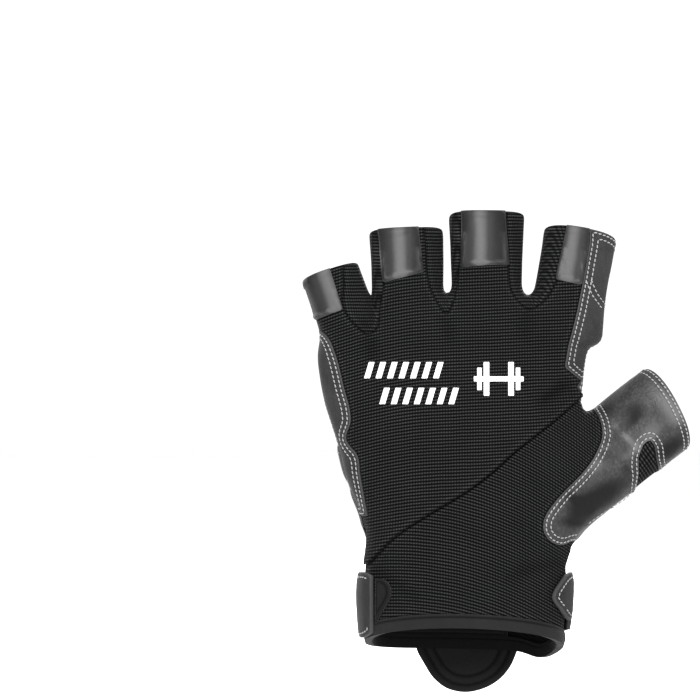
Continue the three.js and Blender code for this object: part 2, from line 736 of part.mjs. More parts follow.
// Where a line parallel to Y meets the palm or the back of the skin mesh
function landing(mesh, x, z, palm) {
  let best = null;
  for (const tri of mesh.faces) {
    const [a, b, c] = tri.map((i) => mesh.points[i]);
    const det = (b[0] - a[0]) * (c[2] - a[2]) - (c[0] - a[0]) * (b[2] - a[2]);
    if (Math.abs(det) < 1e-9) continue;
    const v = ((x - a[0]) * (c[2] - a[2]) - (c[0] - a[0]) * (z - a[2])) / det;
    const w = ((b[0] - a[0]) * (z - a[2]) - (x - a[0]) * (b[2] - a[2])) / det;
    const u = 1 - v - w;
    if (Math.min(u, v, w) < -1e-6) continue;
    const y = u * a[1] + v * b[1] + w * c[1];
    if (best !== null && (palm ? y <= best.point[1] : y >= best.point[1])) continue;
    const normals = tri.map((i) => mesh.normals[i]);
    const normal = [0, 1, 2].map((k) => u * normals[0][k] + v * normals[1][k] + w * normals[2][k]);
    best = { point: [x, y, z], normal };
  }
  return best;
}

// Bar with a rounded back that follows the palm through a row of places
function bar(mesh, places, width, inner, outer, round = 0.35) {
  const rows = places.map(([x, z]) => landing(mesh, x, z, true));
  const points = [];
  const faces = [];
  rows.forEach(({ point, normal }, r) => {
    const before = rows[Math.max(r - 1, 0)].point;
    const after = rows[Math.min(r + 1, rows.length - 1)].point;
    const out = unit(normal);
    const across = unit(cross3(unit(minus(after, before)), out));
    const wide = width * places[r][2];
    const flank = outer - round;
    for (const [s, h] of [[-0.5, inner], [0.5, inner], [0.5, flank], [0, outer], [-0.5, flank]]) {
      points.push(point.map((v, c) => v + across[c] * s * wide + out[c] * h));
    }
  });
  const sides = 5;
  for (let r = 0; r < rows.length - 1; r += 1) {
    for (let s = 0; s < sides; s += 1) {
      const a = r * sides + s;
      const b = r * sides + ((s + 1) % sides);
      faces.push([a, b, b + sides], [a, b + sides, a + sides]);
    }
  }
  const last = (rows.length - 1) * sides;
  for (let s = 1; s < sides - 1; s += 1) faces.push([0, s + 1, s], [last, last + s, last + s + 1]);
  return { points, faces };
}

function volume({ points, faces }) {
  return faces.reduce((sum, [a, b, c]) => sum + dot(points[a], cross3(points[b], points[c])) / 6, 0);
}

const group = new THREE.Group();
group.name = "fitness_glove";

function add(name, shape, colour, roughness) {
  const faces = volume(shape) < 0 ? shape.faces.map(([a, b, c]) => [a, c, b]) : shape.faces;
  const geometry = new THREE.BufferGeometry();
  geometry.setAttribute("position", new THREE.Float32BufferAttribute(shape.points.flat(), 3));
  geometry.setIndex(faces.flat());
  const flat = geometry.toNonIndexed();
  flat.computeVertexNormals();
  const material = new THREE.MeshStandardMaterial({ color: colour, roughness, metalness: 0 });
  const mesh = new THREE.Mesh(flat, material);
  mesh.name = name;
  group.add(mesh);
}

// Field of the cuff binding, negative inside it
const bindingField = (p) => p[2] - mouthHeight(p) - BINDING_HEIGHT;

// Field of the leather that wraps the palm, negative inside it
function leatherField(p) {
  if (side(p) >= 0) return outline(LEATHER_PALM, p[0], p[2]);
  return Math.min(outline(LEATHER_BACK_LEFT, p[0], p[2]), outline(LEATHER_BACK_INDEX, p[0], p[2]));
}

// Field of the diagonal overlap seam, negative above it
function seamField(p) {
  if (side(p) > 0 && p[0] < 0) return 25 - p[2];
  let best = 1e9;
  let sign = 1;
  for (let i = 0; i < OVERLAP_SEAM.length - 1; i += 1) {
    const [ax, az] = OVERLAP_SEAM[i];
    const [bx, bz] = OVERLAP_SEAM[i + 1];
    const ex = bx - ax;
    const ez = bz - az;
    const t = clamp(((p[0] - ax) * ex + (p[2] - az) * ez) / (ex * ex + ez * ez), 0, 1);
    const d = Math.hypot(p[0] - ax - ex * t, p[2] - az - ez * t);
    if (d >= best) continue;
    best = d;
    sign = ex * (p[2] - az) - ez * (p[0] - ax) > 0 ? -1 : 1;
  }
  return best * sign;
}

// Skin, cut into the panels
const skin = skinMesh();
skin.labels = skin.faces.map(() => "all");
split(skin, "all", "glove", "waste", openings);
split(skin, "glove", "binding", "glove", bindingField);
split(skin, "glove", "thumb", "hand", twoSided(THUMB_BACK, THUMB_PALM));
split(skin, "thumb", "gusset", "thumb", twoSided(GUSSET_BACK, GUSSET_PALM));
for (const web of WEB_SPLIT) split(skin, "hand", web.name, "hand", twoSided(web.back, web.palm));
split(skin, "hand", "palm", "back", leatherField);
split(skin, "back", "back_upper", "back_lower", seamField);
skin.normals = skin.points.map((p) => unit(gradient(...p)));

const FABRIC = 0x1a1a1c;
const SUEDE = 0x3a3a3c;
const LEATHER = 0x2a2a2c;
const SILICONE = 0x8a8a8c;

function panel(label, inner, outer) {
  return thicken(shrinkBorder(joinShort(pickPanel(skin, label), 0.8), SEAM_GAP / 2), inner, outer);
}

add("palm_panel", panel("palm", -SUEDE_WALL, 0), SUEDE, 0.9);
add("back_upper_panel", panel("back_upper", -BACK_WALL, 0), FABRIC, 0.95);
add("back_lower_panel", panel("back_lower", -BACK_WALL, 0), FABRIC, 0.95);
add("thumb_shell", panel("thumb", -LEATHER_WALL, 0), LEATHER, 0.45);
add("thumb_gusset", panel("gusset", -BACK_WALL, 0), FABRIC, 0.95);
for (const web of WEB_SPLIT) add(web.name, panel(web.name, -BACK_WALL, 0), FABRIC, 0.95);
add("cuff_binding", panel("binding", -SUEDE_WALL, BINDING_OUT), FABRIC, 0.85);

// A raised piece cut out of the skin mesh by a field, negative inside the piece
const kept = skin.faces.filter((_, n) => skin.labels[n] !== "waste");

function overlay(field, inner, outer, finer = false) {
  const copy = {
    points: skin.points.map((p) => [...p]),
    normals: skin.normals.map((p) => [...p]),
    faces: kept.map((t) => [...t]),
  };
  if (finer) {
    const middles = new Map();
    const middle = (a, b) => {
      const id = a < b ? `${a},${b}` : `${b},${a}`;
      if (!middles.has(id)) {
        middles.set(id, copy.points.length);
        copy.points.push(between(copy.points, a, b, 0.5));
        copy.normals.push(between(copy.normals, a, b, 0.5));
      }
      return middles.get(id);
    };
    copy.faces = copy.faces.filter((tri) => tri.some((i) => field(copy.points[i]) < 2 * CELL));
    copy.faces = copy.faces.flatMap(([a, b, c]) => {
      const [p, q, r] = [middle(a, b), middle(b, c), middle(c, a)];
      return [[a, p, r], [p, b, q], [r, q, c], [p, q, r]];
    });
  }
  copy.labels = copy.faces.map(() => "all");
  copy.fixed = copy.points.map(() => false);
  for (const i of borderEdges(copy).flat()) copy.fixed[i] = true;
  split(copy, "all", "piece", "rest", field, false);
  return thicken(joinShort(pickPanel(copy, "piece"), 0.5), inner, outer);
}

const onBack = (points) => (p) => Math.max(outline(points, p[0], p[2]), side(p));
const onPalm = (points) => (p) => Math.max(outline(points, p[0], p[2]), -side(p));

for (const { name, points } of PATCHES) {
  add(`finger_patch_${name}`, overlay(onBack(points), PATCH_IN, PATCH_OUT), LEATHER, 0.4);
}

// Inlays: long rounded bars up the middle of each finger
const INLAY_ROWS = [[0, 0.3], [0.06, 0.75], [0.14, 1], [0.5, 1], [0.86, 1], [0.94, 0.75], [1, 0.3]];
for (const { name, x, z, lean } of INLAYS) {
  const turn = (lean * Math.PI) / 180;
  const places = INLAY_ROWS.map(([t, w]) => {
    const s = (t - 0.5) * INLAY_LONG;
    return [x - s * Math.sin(turn), z + s * Math.cos(turn), w];
  });
  add(`finger_inlay_${name}`, bar(skin, places, INLAY_WIDE, OVERLAY_IN, INLAY_OUT, 0.15), SILICONE, 0.5);
}

add("heel_pad", overlay(onPalm(HEEL_PANEL), OVERLAY_IN, HEEL_OUT), SUEDE, 0.9);

function strapField(p) {
  if (side(p) >= 0) return outline(STRAP_PALM, p[0], p[2]);
  return Math.min(outline(STRAP_BACK_LEFT, p[0], p[2]), outline(STRAP_BACK_RIGHT, p[0], p[2]));
}

add("wrist_strap", overlay(strapField, STRAP_IN, STRAP_OUT), LEATHER, 0.6);
add("strap_hook_tab", overlay(onBack(HOOK_TAB), OVERLAY_IN, HOOK_OUT, true), FABRIC, 0.9);

BAR_HEIGHTS.forEach((z, n) => {
  const left = lines(BAR_LEFT, "z", "x", z);
  const right = lines(BAR_RIGHT, "z", "x", z);
  const count = right - left > 26 ? 7 : 5;
  const places = [];
  for (let i = 0; i < count; i += 1) {
    const t = i / (count - 1);
    const wide = i === 0 || i === count - 1 ? 0.55 : 1;
    const sag = (right - left) * 0.18 * t * (1 - t);
    places.push([left + (right - left) * t, z - BAR_FALL * (1 - t) - sag, wide]);
  }
  const name = `grip_bar_${String(n + 1).padStart(2, "0")}`;
  add(name, bar(skin, places, n > 9 ? BAR_WIDTH - 0.5 : BAR_WIDTH, OVERLAY_IN, BAR_OUT), SILICONE, 0.55);
});

// Pull tab: a plate with a rounded end that hangs below the palm side of the cuff
function plate(points, near, thick) {
  const out = [];
  for (const level of [near, near + thick]) {
    for (const [x, z] of points) out.push([x, level + TONGUE_LEAN * (z - TONGUE[0][1]), z]);
  }
  const n = points.length;
  const faces = [];
  for (let i = 1; i < n - 1; i += 1) faces.push([0, i, i + 1], [n, n + i + 1, n + i]);
  for (let i = 0; i < n; i += 1) {
    const j = (i + 1) % n;
    faces.push([i, i + n, j], [j, i + n, j + n]);
  }
  return { points: out, faces };
}

add("wrist_tongue", plate(TONGUE, TONGUE_Y, TONGUE_THICK), FABRIC, 0.9);
add("tongue_pad", plate(TONGUE_PAD, TONGUE_Y + TONGUE_THICK + 0.1, PAD_THICK), FABRIC, 0.85);

export default group;
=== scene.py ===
"""Half-finger fitness glove for the left hand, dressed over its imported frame.

Lengths are millimetres until a mesh is made, +Z towards the fingertips, +X towards the thumb and
+Y the palm side. One skin is meshed finely over the same form as the solids and cut into panels.
"""
from __future__ import annotations

import logging
import math
from dataclasses import dataclass, field
from enum import Enum
from typing import Any, Callable, Sequence

import bmesh
import bpy
import numpy as np
from mathutils import Euler, Matrix, Vector
from mathutils.bvhtree import BVHTree
from mathutils.kdtree import KDTree


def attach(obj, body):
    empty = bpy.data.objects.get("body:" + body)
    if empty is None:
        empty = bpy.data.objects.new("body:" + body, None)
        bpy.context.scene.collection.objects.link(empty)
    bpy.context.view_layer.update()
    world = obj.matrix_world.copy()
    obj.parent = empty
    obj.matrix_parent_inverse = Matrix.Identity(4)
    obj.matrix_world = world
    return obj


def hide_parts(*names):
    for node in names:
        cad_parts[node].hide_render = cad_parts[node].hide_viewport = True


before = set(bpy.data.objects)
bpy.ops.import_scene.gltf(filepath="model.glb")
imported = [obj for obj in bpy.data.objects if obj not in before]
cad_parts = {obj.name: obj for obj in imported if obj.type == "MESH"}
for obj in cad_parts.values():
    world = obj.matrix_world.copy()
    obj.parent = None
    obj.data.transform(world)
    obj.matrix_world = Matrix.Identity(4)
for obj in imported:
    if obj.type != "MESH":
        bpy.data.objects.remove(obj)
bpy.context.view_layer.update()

LOG = logging.getLogger("glove")
Array = np.ndarray
Field = Callable[[Array], Array]
Table = dict[str, Array]
Object = bpy.types.Object
Material = bpy.types.Material
MM = 0.001
# Stands for a distance when nothing is near
FAR = 99.0
HUGE = 1e9
# Keeps a value off zero where it divides or decides a side
TINY = 1e-6
SHARP_ANGLE = math.radians(48)


def table(columns: str, rows: Sequence[Sequence[float]]) -> Table:
    """Turns rows of numbers into named columns.

    Args:
        columns: The column names, separated by spaces.
        rows: One sequence of numbers for each row.

    Returns:
        One array of numbers for each column name.
    """
    numbers = np.array(rows, float)
    return {name: numbers[:, n] for n, name in enumerate(columns.split())}


def rounded(points: Sequence[tuple[float, float]], closed: bool = True,
            longest: float = 20.0) -> list[tuple[float, float]]:
    """Passes a smooth curve through an outline's corners.

    Args:
        points: The corners, as x and z.
        closed: Whether the last corner joins the first.
        longest: Sides longer than this stay straight.

    Returns:
        The finer outline.
    """
    corners = np.array(points, float)
    step = np.roll(corners, -1, axis=0) - corners
    size = np.linalg.norm(step, axis=1)
    if not closed:
        size[-1] = 2 * longest
    short = size < longest
    way = step / size[:, None]
    slope = np.zeros_like(corners)
    for n in range(len(corners)):
        if short[n - 1] and short[n]:
            slope[n] = (way[n - 1] * size[n] + way[n] * size[n - 1]) / (size[n - 1] + size[n])
        else:
            slope[n] = way[n] if short[n] else way[n - 1]
    out = []
    for n, start in enumerate(corners):
        m = (n + 1) % len(corners)
        for t in np.arange(5) / 5 if short[n] else (0.0,):
            spot = ((2 * t**3 - 3 * t**2 + 1) * start + (3 * t**2 - 2 * t**3) * corners[m]
                    + size[n] * ((t**3 - 2 * t**2 + t) * slope[n] + (t**3 - t**2) * slope[m]))
            out.append((float(spot[0]), float(spot[1])))
    return out


BODY = table("z left right back palm", [
    (-34, -36.5, 31.5, 17, 17),
    (0, -37.6, 33.6, 18.5, 18.5),
    (14, -38.2, 34.6, 18.5, 18.5),
    (30, -37, 35, 17, 18.5),
    (40, -38, 38, 16.5, 18.5),
    (55, -43.6, 41.5, 15.5, 18),
    (70, -47.6, 42, 14.5, 17),
    (85, -52, 40.2, 13.5, 15.5),
    (100, -55, 41.2, 12.5, 13.5),
    (116, -58.5, 45.2, 11, 12),
    (130, -61, 49.5, 10.5, 11),
])
CROTCH = table("x z", [
    (-70, 104), (-56, 104), (-36, 108), (-22, 117.5), (-8.6, 120.3), (6, 121.5), (20.4, 120.3),
    (34, 117), (60, 112),
])
THUMB = table("along width depth middle", [
    (20, 12, 9, 0),
    (45, 17, 12, 1),
    (60, 16.6, 12.5, 2.5),
    (75, 16.2, 12, 4),
    (90, 15.6, 11.5, 5.5),
    (106, 15.9, 11.5, 7),
    (120, 16, 11.5, 8),
])


@dataclass(frozen=True)
class Finger:
    """One finger tube: its axis, half widths, half depths and the lengths of its opening's edge."""

    name: str
    base: tuple[float, float]
    top: tuple[float, float]
    widths: tuple[float, float, float]
    depths: tuple[float, float]
    edges: tuple[float, float, float]

    def place(self, x: Array, z: Array) -> tuple[Array, Array, float]:
        """Distances along and across the finger.

        Args:
            x: Positions across the hand.
            z: Positions up the hand.

        Returns:
            The distance along the axis, the distance across it and the axis length.
        """
        dx, dz = self.top[0] - self.base[0], self.top[1] - self.base[1]
        length = math.hypot(dx, dz)
        ux, uz = dx / length, dz / length
        px, pz = x - self.base[0], z - self.base[1]
        return px * ux + pz * uz, px * uz - pz * ux, length


FINGERS = (
    Finger("little", (-41.5, 104), (-51.6, 135.0), (10.8, 10.2, 10.3), (9.5, 8.5), (28.2, 26.2, 23.2)),
    Finger("ring", (-21.6, 106), (-23.3, 149.5), (12.7, 12.9, 13.8), (10, 9), (39.6, 37.0, 30.5)),
    Finger("middle", (6.0, 106), (6.3, 149.5), (13.0, 12.6, 13.9), (10, 9), (45.6, 42.3, 34.0)),
    Finger("index", (33.4, 106), (39.9, 144.0), (13.6, 12.7, 13.1), (10, 9), (40.1, 36.8, 33.2)),
)
# The thumb axis: its direction in x and z and its distance from the origin
THUMB_WAY = (0.8, 0.6)
THUMB_OFFSET = 21.5
THUMB_EDGES = (109, 104.5, 99.5)
THUMB_LEAN = 0.15
MOUTH = -2.3
MOUTH_SLANT = -0.27
MOUTH_BOW = 2.0
MOUTH_TILT = 0.03
MOUTH_CORNER = 2.4
BINDING_HEIGHT = 4.7

# Outlines as x and z, seen from the back of the hand for both sides
Outline = list[tuple[float, float]]
THUMB_BACK: Outline = rounded([
    (38, 88), (44.3, 80.8), (46.7, 75.8), (47.3, 71.6), (44.9, 64.5), (40.7, 58.5), (34.1, 51.9),
    (28.8, 46), (25.8, 40.6), (25.8, 37), (28.8, 32.8), (32.3, 31.7), (36, 33), (60, 33),
    (110, 60), (100, 120), (60, 120),
])
THUMB_PALM: Outline = rounded([
    (40, 87), (35.5, 81), (31.7, 78.1), (24.5, 70.2), (18.9, 59.8), (15.9, 46.1), (14.4, 30),
    (14.2, 20.8), (19.6, 21), (24.3, 25.4), (30.4, 29.4), (36, 33), (60, 33), (110, 60),
    (100, 120), (60, 120),
])
WEBS: dict[str, tuple[Outline, Outline]] = {
    "fourchette_little_ring": (
        rounded([(-46.2, 150), (-45.4, 124.7), (-45.6, 117.1), (-40.2, 109.5), (-37, 107.5),
                 (-33.6, 109.3), (-32.4, 116.5), (-31, 126), (-32.5, 170)]),
        rounded([(-42.8, 150), (-42, 124), (-38.5, 112), (-35, 103), (-30.5, 101),
                 (-26.5, 104.5), (-25.2, 112), (-24.8, 136), (-25.5, 170)]),
    ),
    "fourchette_ring_middle": (
        rounded([(-18.6, 170), (-15.8, 136), (-15.4, 129), (-13.2, 121.3), (-8.4, 114.9),
                 (-6, 119.5), (-3.8, 131.5), (-2.9, 150), (-2.9, 170)]),
        rounded([(-10.4, 170), (-10.4, 112), (-8.6, 107.8), (-5.2, 106.3), (-2, 109),
                 (-0.4, 114.5), (3.6, 140.8), (3.6, 170)]),
    ),
    "fourchette_middle_index": (
        rounded([(12.7, 170), (13.4, 132.5), (15.2, 121.5), (21, 116.2), (26.4, 119),
                 (30.6, 125.5), (35.2, 146), (36, 170)]),
        rounded([(17.3, 170), (17.3, 138), (13.4, 114.5), (15, 109), (18.9, 106.7),
                 (23.5, 108), (27, 112), (31.7, 137.5), (33, 170)]),
    ),
}
LEATHER_BACK_LEFT: Outline = rounded([
    (-90, 111), (-57.3, 110.3), (-52, 106.8), (-48.3, 99.4), (-46.8, 94.2), (-45.6, 89.1),
    (-43.1, 79.1), (-42.9, 76.1), (-44.6, 69.1), (-42.9, 66.6), (-41.1, 64.7), (-39.6, 56.6),
    (-37.8, 46.7), (-36.8, 42), (-90, 41),
])
LEATHER_BACK_INDEX: Outline = [
    (43.4, 170), (42.8, 140), (40.5, 127.1), (38.2, 115.7), (35.2, 103.7), (33.7, 95.3),
    (40.5, 90), (60, 80), (100, 100), (100, 170),
]
LEATHER_PALM: Outline = [
    (-90, 200), (120, 200), (120, 90), (60, 60), (24, 27), (16.5, 24.5), (14.5, 10), (14.5, -40),
    (-34, -40), (-34, 30), (-40, 43), (-90, 46),
]
OVERLAP_SEAM: Outline = rounded([
    (-60, 6), (-35.3, 25.9), (-27.7, 34.3), (-16.3, 42.2), (-8, 47.2), (-1.9, 50.9), (7.2, 57.7),
    (14.8, 64.6), (25.4, 72.9), (32.2, 78.2), (36.7, 82.1), (60, 100),
], closed=False)
PALM_SEAM: Outline = rounded([
    (60, 112), (48.6, 107.1), (43, 104.8), (31.7, 99), (16.6, 91.1), (2.9, 86.2), (-13.3, 82.6),
    (-28, 82), (-42.8, 82.2), (-60, 82.6),
], closed=False)
HEEL_INNER_SEAM: Outline = rounded([
    (-46, 54), (-40, 52), (-33.2, 47.2), (-26.8, 40.8), (-22.4, 35.3), (-19.7, 28.8), (-18.6, 18),
], closed=False)
GUSSET_BACK: Outline = [
    (57.5, 46), (59.8, 52), (60.6, 57), (60.2, 63.5), (61.8, 67.8), (64.2, 69.4), (66.2, 66.8),
    (67, 62), (68.4, 57), (68, 46),
]
GUSSET_PALM: Outline = [
    (38.5, 33.5), (41, 40.6), (50, 47.8), (60, 55.4), (64.4, 58.8), (67.2, 57.4), (68.8, 48), (50, 30),
    (38, 28),
]
PATCHES: dict[str, Outline] = {
    "little": [(-66, 136), (-52.2, 136), (-45.7, 116), (-51, 114), (-58, 111.4), (-66, 109.5)],
    "ring": [(-33.6, 170), (-32.6, 142), (-31.2, 125.6), (-24.3, 127.4), (-16.9, 129.4),
             (-18.6, 144.3), (-20.6, 170)],
    "middle": [(-2.6, 170), (-3.1, 131), (5, 131.8), (13.8, 132), (12.4, 151), (11.8, 170)],
    "index": [(37.5, 170), (34.6, 145), (30.6, 126.8), (39.9, 124.6), (42.6, 140), (43.3, 170)],
}
STRAP_PALM: Outline = [
    (-80, 24), (-38, 21.3), (-30, 19.6), (30, 19.4), (37, 21.3), (80, 24), (80, 3.6), (38, 3.6),
    (27.7, -3), (1.4, -5.2), (-25.1, -4.8), (-36.7, -1.6), (-80, -1),
]
STRAP_BACK_LEFT: Outline = [
    (-80, 24), (-38, 21.3), (-36, 21.4), (-34.2, 20.6), (-34, 0.6), (-36.7, -1.6), (-80, -1),
]
STRAP_BACK_RIGHT: Outline = rounded([
    (80, 24), (37, 21.3), (34.2, 21.6), (30.2, 17.6), (28.2, 13.3), (30.6, 9.2), (34.6, 4.2),
    (38, 3.6), (80, 3.6),
])
HOOK_TAB: Outline = rounded([
    (-33.6, 19.8), (-30.6, 19.4), (-28.8, 17.4), (-28.4, 14.4), (-29.6, 11.2), (-31.8, 7.4),
    (-33.6, 3.2),
], longest=10)
HEEL_EDGE: Outline = [
    (-47.8, 67.3), (-41.9, 66), (-34.4, 63.2), (-27, 57.6), (-20.4, 50.3), (-14.9, 41.9),
    (-9.9, 31), (-7.4, 20.6),
]
HEEL_PANEL: Outline = rounded([
    *HEEL_EDGE, (-30, 20.8), (-36, 22.4), (-36, 30), (-38.5, 40), (-42.8, 50), (-46, 59),
])
HEEL_ARC: Outline = rounded([(-60, 69), *HEEL_EDGE, (-7, 12)], closed=False)
TONGUE: Outline = rounded([
    (18.6, -6), (17.4, -9.5), (15.4, -14), (11.6, -18.6), (6, -22), (-1.2, -23.5), (-8, -22),
    (-12.8, -18.2), (-16.4, -12.6), (-18.6, -8.6), (-19.4, -6),
], closed=False)
BAR_HEIGHTS = (73, 68.8, 65, 60.9, 56.8, 52.7, 48.7, 45.3, 42.5, 39.9, 37.2, 34.6, 32.1, 29.6, 26.8)
BAR_FALL = 1.6
BAR_SAG = 0.18
BAR_CREST = 1.25
INLAY_CREST = 0.95
INLAY_ROUND = 2.7
INLAY_STRAIGHT = 7.55
BAR_LEFT = table("z x", [
    (24.6, -6.5), (28.4, -7.4), (32.6, -8.7), (37.1, -10.7), (40.2, -11.8), (42.8, -12.9),
    (45, -14.1), (48.3, -16.9), (52.8, -19.5), (56.6, -22.5), (60.9, -25.9), (65, -29.8),
    (68.8, -34), (73, -38.3),
])
BAR_RIGHT = table("z x", [
    (24.6, -4.2), (30.8, -3.4), (42.8, -1.4), (48.3, 0.4), (56.6, 3.1), (65, 6.7), (73, 11.5),
])
INLAYS = table("x z lean", [
    (-48.6, 110, 13), (-17.8, 120, 0), (7.6, 124, -1), (38.2, 123, -9),
])


# Painted highlights (above 0) and painted shade (below 0) on the thumb leather, the shade also a little
# rougher: side, centre, half sizes, turn, strength
PAINTED_LIGHT_SPOTS = table("side x z long wide turn strength", [
    (-1, 72, 81, 9, 3.6, -50, 1),
    (-1, 55.5, 70.5, 7, 1.1, -45, 0.9),
    (-1, 63.5, 73, 6, 3.5, 40, 0.5),
    (-1, 45, 60.8, 8, 5.5, 35, 0.55),
    (-1, 29.7, 42, 4, 4, 0, 0.4),
    (-1, 59, 78.5, 5, 4, 40, -0.9),
    (-1, 72, 66.5, 9, 4, 40, -1),
    (-1, 48, 50, 12, 5, 35, -1),
    (-1, 38, 44, 9, 6, 45, -0.7),
    (-1, 49.5, 79.5, 4, 3.5, 35, -0.6),
    (1, 23.5, 50, 16, 5, 68, 0.4),
    (1, 32, 62, 6, 6, 0, 0.35),
    (1, 63, 74, 8, 6, 60, -0.85),
    (1, 30, 37, 7, 8, 0, -0.7),
    (1, 49, 64.5, 5, 1.5, 115, 0.6),
    (1, 50.6, 68.6, 4, 1.4, 130, -0.8),
    (1, 53.3, 58.5, 6.5, 1.5, 85, -0.8),
    (1, 44.8, 65.2, 6, 1.4, 120, -0.8),
    (1, 47.2, 52.4, 4.5, 2.6, 125, -1.1),
    (1, 24.9, 35.3, 11, 2.4, 73, -1.4),
    (1, 37, 74, 6, 4, -40, -0.8),
    (1, 58.5, 55.5, 6, 2.5, 40, -0.9),
    (1, 34, 43, 9, 6, 30, -0.7),
    (1, 71.5, 60.2, 9, 2.2, 38, -1.2),
])


# The box that the skin is meshed in: its low corner and its size
MESH_LOW = (-70.0, -26.0, -16.0)
MESH_SIZE = (155.0, 56.0, 176.0)


class Panel(Enum):
    """The pieces that the skin is cut into."""

    WHOLE = 0
    WASTE = 1
    BINDING = 2
    THUMB = 3
    GUSSET = 4
    HAND = 5
    FOURCHETTE_LITTLE_RING = 6
    FOURCHETTE_RING_MIDDLE = 7
    FOURCHETTE_MIDDLE_INDEX = 8
    PALM = 9
    BACK = 10
    BACK_UPPER = 11
    BACK_LOWER = 12
    PIECE = 13
    REST = 14


def curve(rows: Table, key: str, column: str, at: Array) -> Array:
    """Smooth curve through one column of a table.

    Args:
        rows: The table.
        key: The column to look up, in rising order.
        column: The column to read.
        at: Where to read it; beyond the ends, the end value holds.

    Returns:
        The column's values there.
    """
    keys, values = rows[key], rows[column]
    slope = np.empty(len(keys))
    slope[1:-1] = (values[2:] - values[:-2]) / (keys[2:] - keys[:-2])
    slope[0] = (values[1] - values[0]) / (keys[1] - keys[0])
    slope[-1] = (values[-1] - values[-2]) / (keys[-1] - keys[-2])
    q = np.clip(at, keys[0], keys[-1])
    i = np.clip(np.searchsorted(keys, q, side="right") - 1, 0, len(keys) - 2)
    h = keys[i + 1] - keys[i]
    t = (q - keys[i]) / h
    return ((2 * t**3 - 3 * t**2 + 1) * values[i] + (t**3 - 2 * t**2 + t) * h * slope[i]
            + (3 * t**2 - 2 * t**3) * values[i + 1] + (t**3 - t**2) * h * slope[i + 1])


def smooth(low: float, high: float, v: Array) -> Array:
    """Rises smoothly from 0 at low to 1 at high."""
    t = np.clip((v - low) / (high - low), 0, 1)
    return t * t * (3 - 2 * t)


def soft_min(a: Array, b: Array, k: float) -> Array:
    """Smaller of two distances, blended over a width of k."""
    h = np.clip(0.5 + 0.5 * (b - a) / k, 0, 1)
    return b * (1 - h) + a * h - k * h * (1 - h)


def soft_max(a: Array, b: Array, k: float) -> Array:
    """Larger of two distances, blended over a width of k."""
    return -soft_min(-a, -b, k)


def oval(u: Array, v: Array, power: float, a: Array, b: Array) -> Array:
    """Distance to an oval section with squared shoulders.

    Args:
        u: Position across.
        v: Position in depth.
        power: How square the oval is; 2 is an ellipse.
        a: Half width.
        b: Half depth.

    Returns:
        The signed distance, negative inside.
    """
    au, av = np.abs(u) / a + 1e-9, np.abs(v) / b + 1e-9
    r = (au**power + av**power) ** (1 / power)
    return (r - 1) / np.hypot((au / r) ** (power - 1) / a, (av / r) ** (power - 1) / b)


def unit(v: Array) -> Array:
    """Vectors scaled to length one."""
    return v / np.maximum(np.linalg.norm(v, axis=-1, keepdims=True), 1e-12)


def hump(v: Array, width: float) -> Array:
    """A smooth bump of height 1 about zero."""
    return np.exp(-((v / width) ** 2))


def decay(v: Array, width: float) -> Array:
    """Falls from 1 at zero over a width."""
    return np.exp(-v / width)


def run_length(points: Array) -> Array:
    """Length along a line up to each of its points."""
    return np.concatenate([[0], np.cumsum(np.linalg.norm(np.diff(points, axis=0), axis=1))])


def on_line(points: Array, run: Array, at: Array) -> Array:
    """Points on a line at lengths along it."""
    return np.stack([np.interp(at, run, column) for column in points.T], axis=1)


def face_edges(faces: Array) -> Array:
    """The directed edges of triangles, one pair of corners in each row."""
    return np.concatenate([faces[:, [0, 1]], faces[:, [1, 2]], faces[:, [2, 0]]])


def outline_field(points: Outline, x: Array, z: Array) -> Array:
    """Signed distance to a closed outline, negative inside.

    Args:
        points: The outline's corners.
        x: Positions across.
        z: Positions up.

    Returns:
        The signed distances.
    """
    corners = np.array(points, float)
    best = np.full(np.shape(x), HUGE)
    inside = np.zeros(np.shape(x), bool)
    for (ax, az), (bx, bz) in zip(np.roll(corners, 1, axis=0), corners):
        ex, ez = bx - ax, bz - az
        t = np.clip(((x - ax) * ex + (z - az) * ez) / (ex * ex + ez * ez), 0, 1)
        best = np.minimum(best, np.hypot(x - ax - ex * t, z - az - ez * t))
        if az != bz:
            inside ^= ((az > z) != (bz > z)) & (x < ax + (z - az) * ex / ez)
    return np.where(inside, -best, best)


def line_field(points: Outline, x: Array, z: Array) -> Array:
    """Signed distance to an open line, positive on its right-hand side going along it.

    Args:
        points: The line's points.
        x: Positions across.
        z: Positions up.

    Returns:
        The signed distances.
    """
    best = np.full(np.shape(x), HUGE)
    sign = np.ones(np.shape(x))
    for (ax, az), (bx, bz) in zip(points, points[1:]):
        ex, ez = bx - ax, bz - az
        t = np.clip(((x - ax) * ex + (z - az) * ez) / (ex * ex + ez * ez), 0, 1)
        d = np.hypot(x - ax - ex * t, z - az - ez * t)
        turn = np.where(ex * (z - az) - ez * (x - ax) > 0, -1.0, 1.0)
        sign = np.where(d < best, turn, sign)
        best = np.minimum(best, d)
    return best * sign


class Noise:
    """Smooth seeded noise in space."""

    def __init__(self, seed: int) -> None:
        """Makes the noise's table of random values from a seed."""
        self.values = np.random.default_rng(seed).uniform(-1, 1, (32, 32, 32))

    def at(self, p: Array, size: float) -> Array:
        """Noise at points.

        Args:
            p: The points, in millimetres.
            size: The size of one bump.

        Returns:
            Values from about -1 to 1.
        """
        q = p / size
        base = np.floor(q).astype(int)
        t = q - base
        t = t * t * (3 - 2 * t)
        total = np.zeros(len(p))
        for corner in range(8):
            step = np.array([corner & 1, corner >> 1 & 1, corner >> 2 & 1])
            i, j, k = ((base + step) % 32).T
            total += self.values[i, j, k] * np.prod(np.where(step, t, 1 - t), axis=1)
        return total


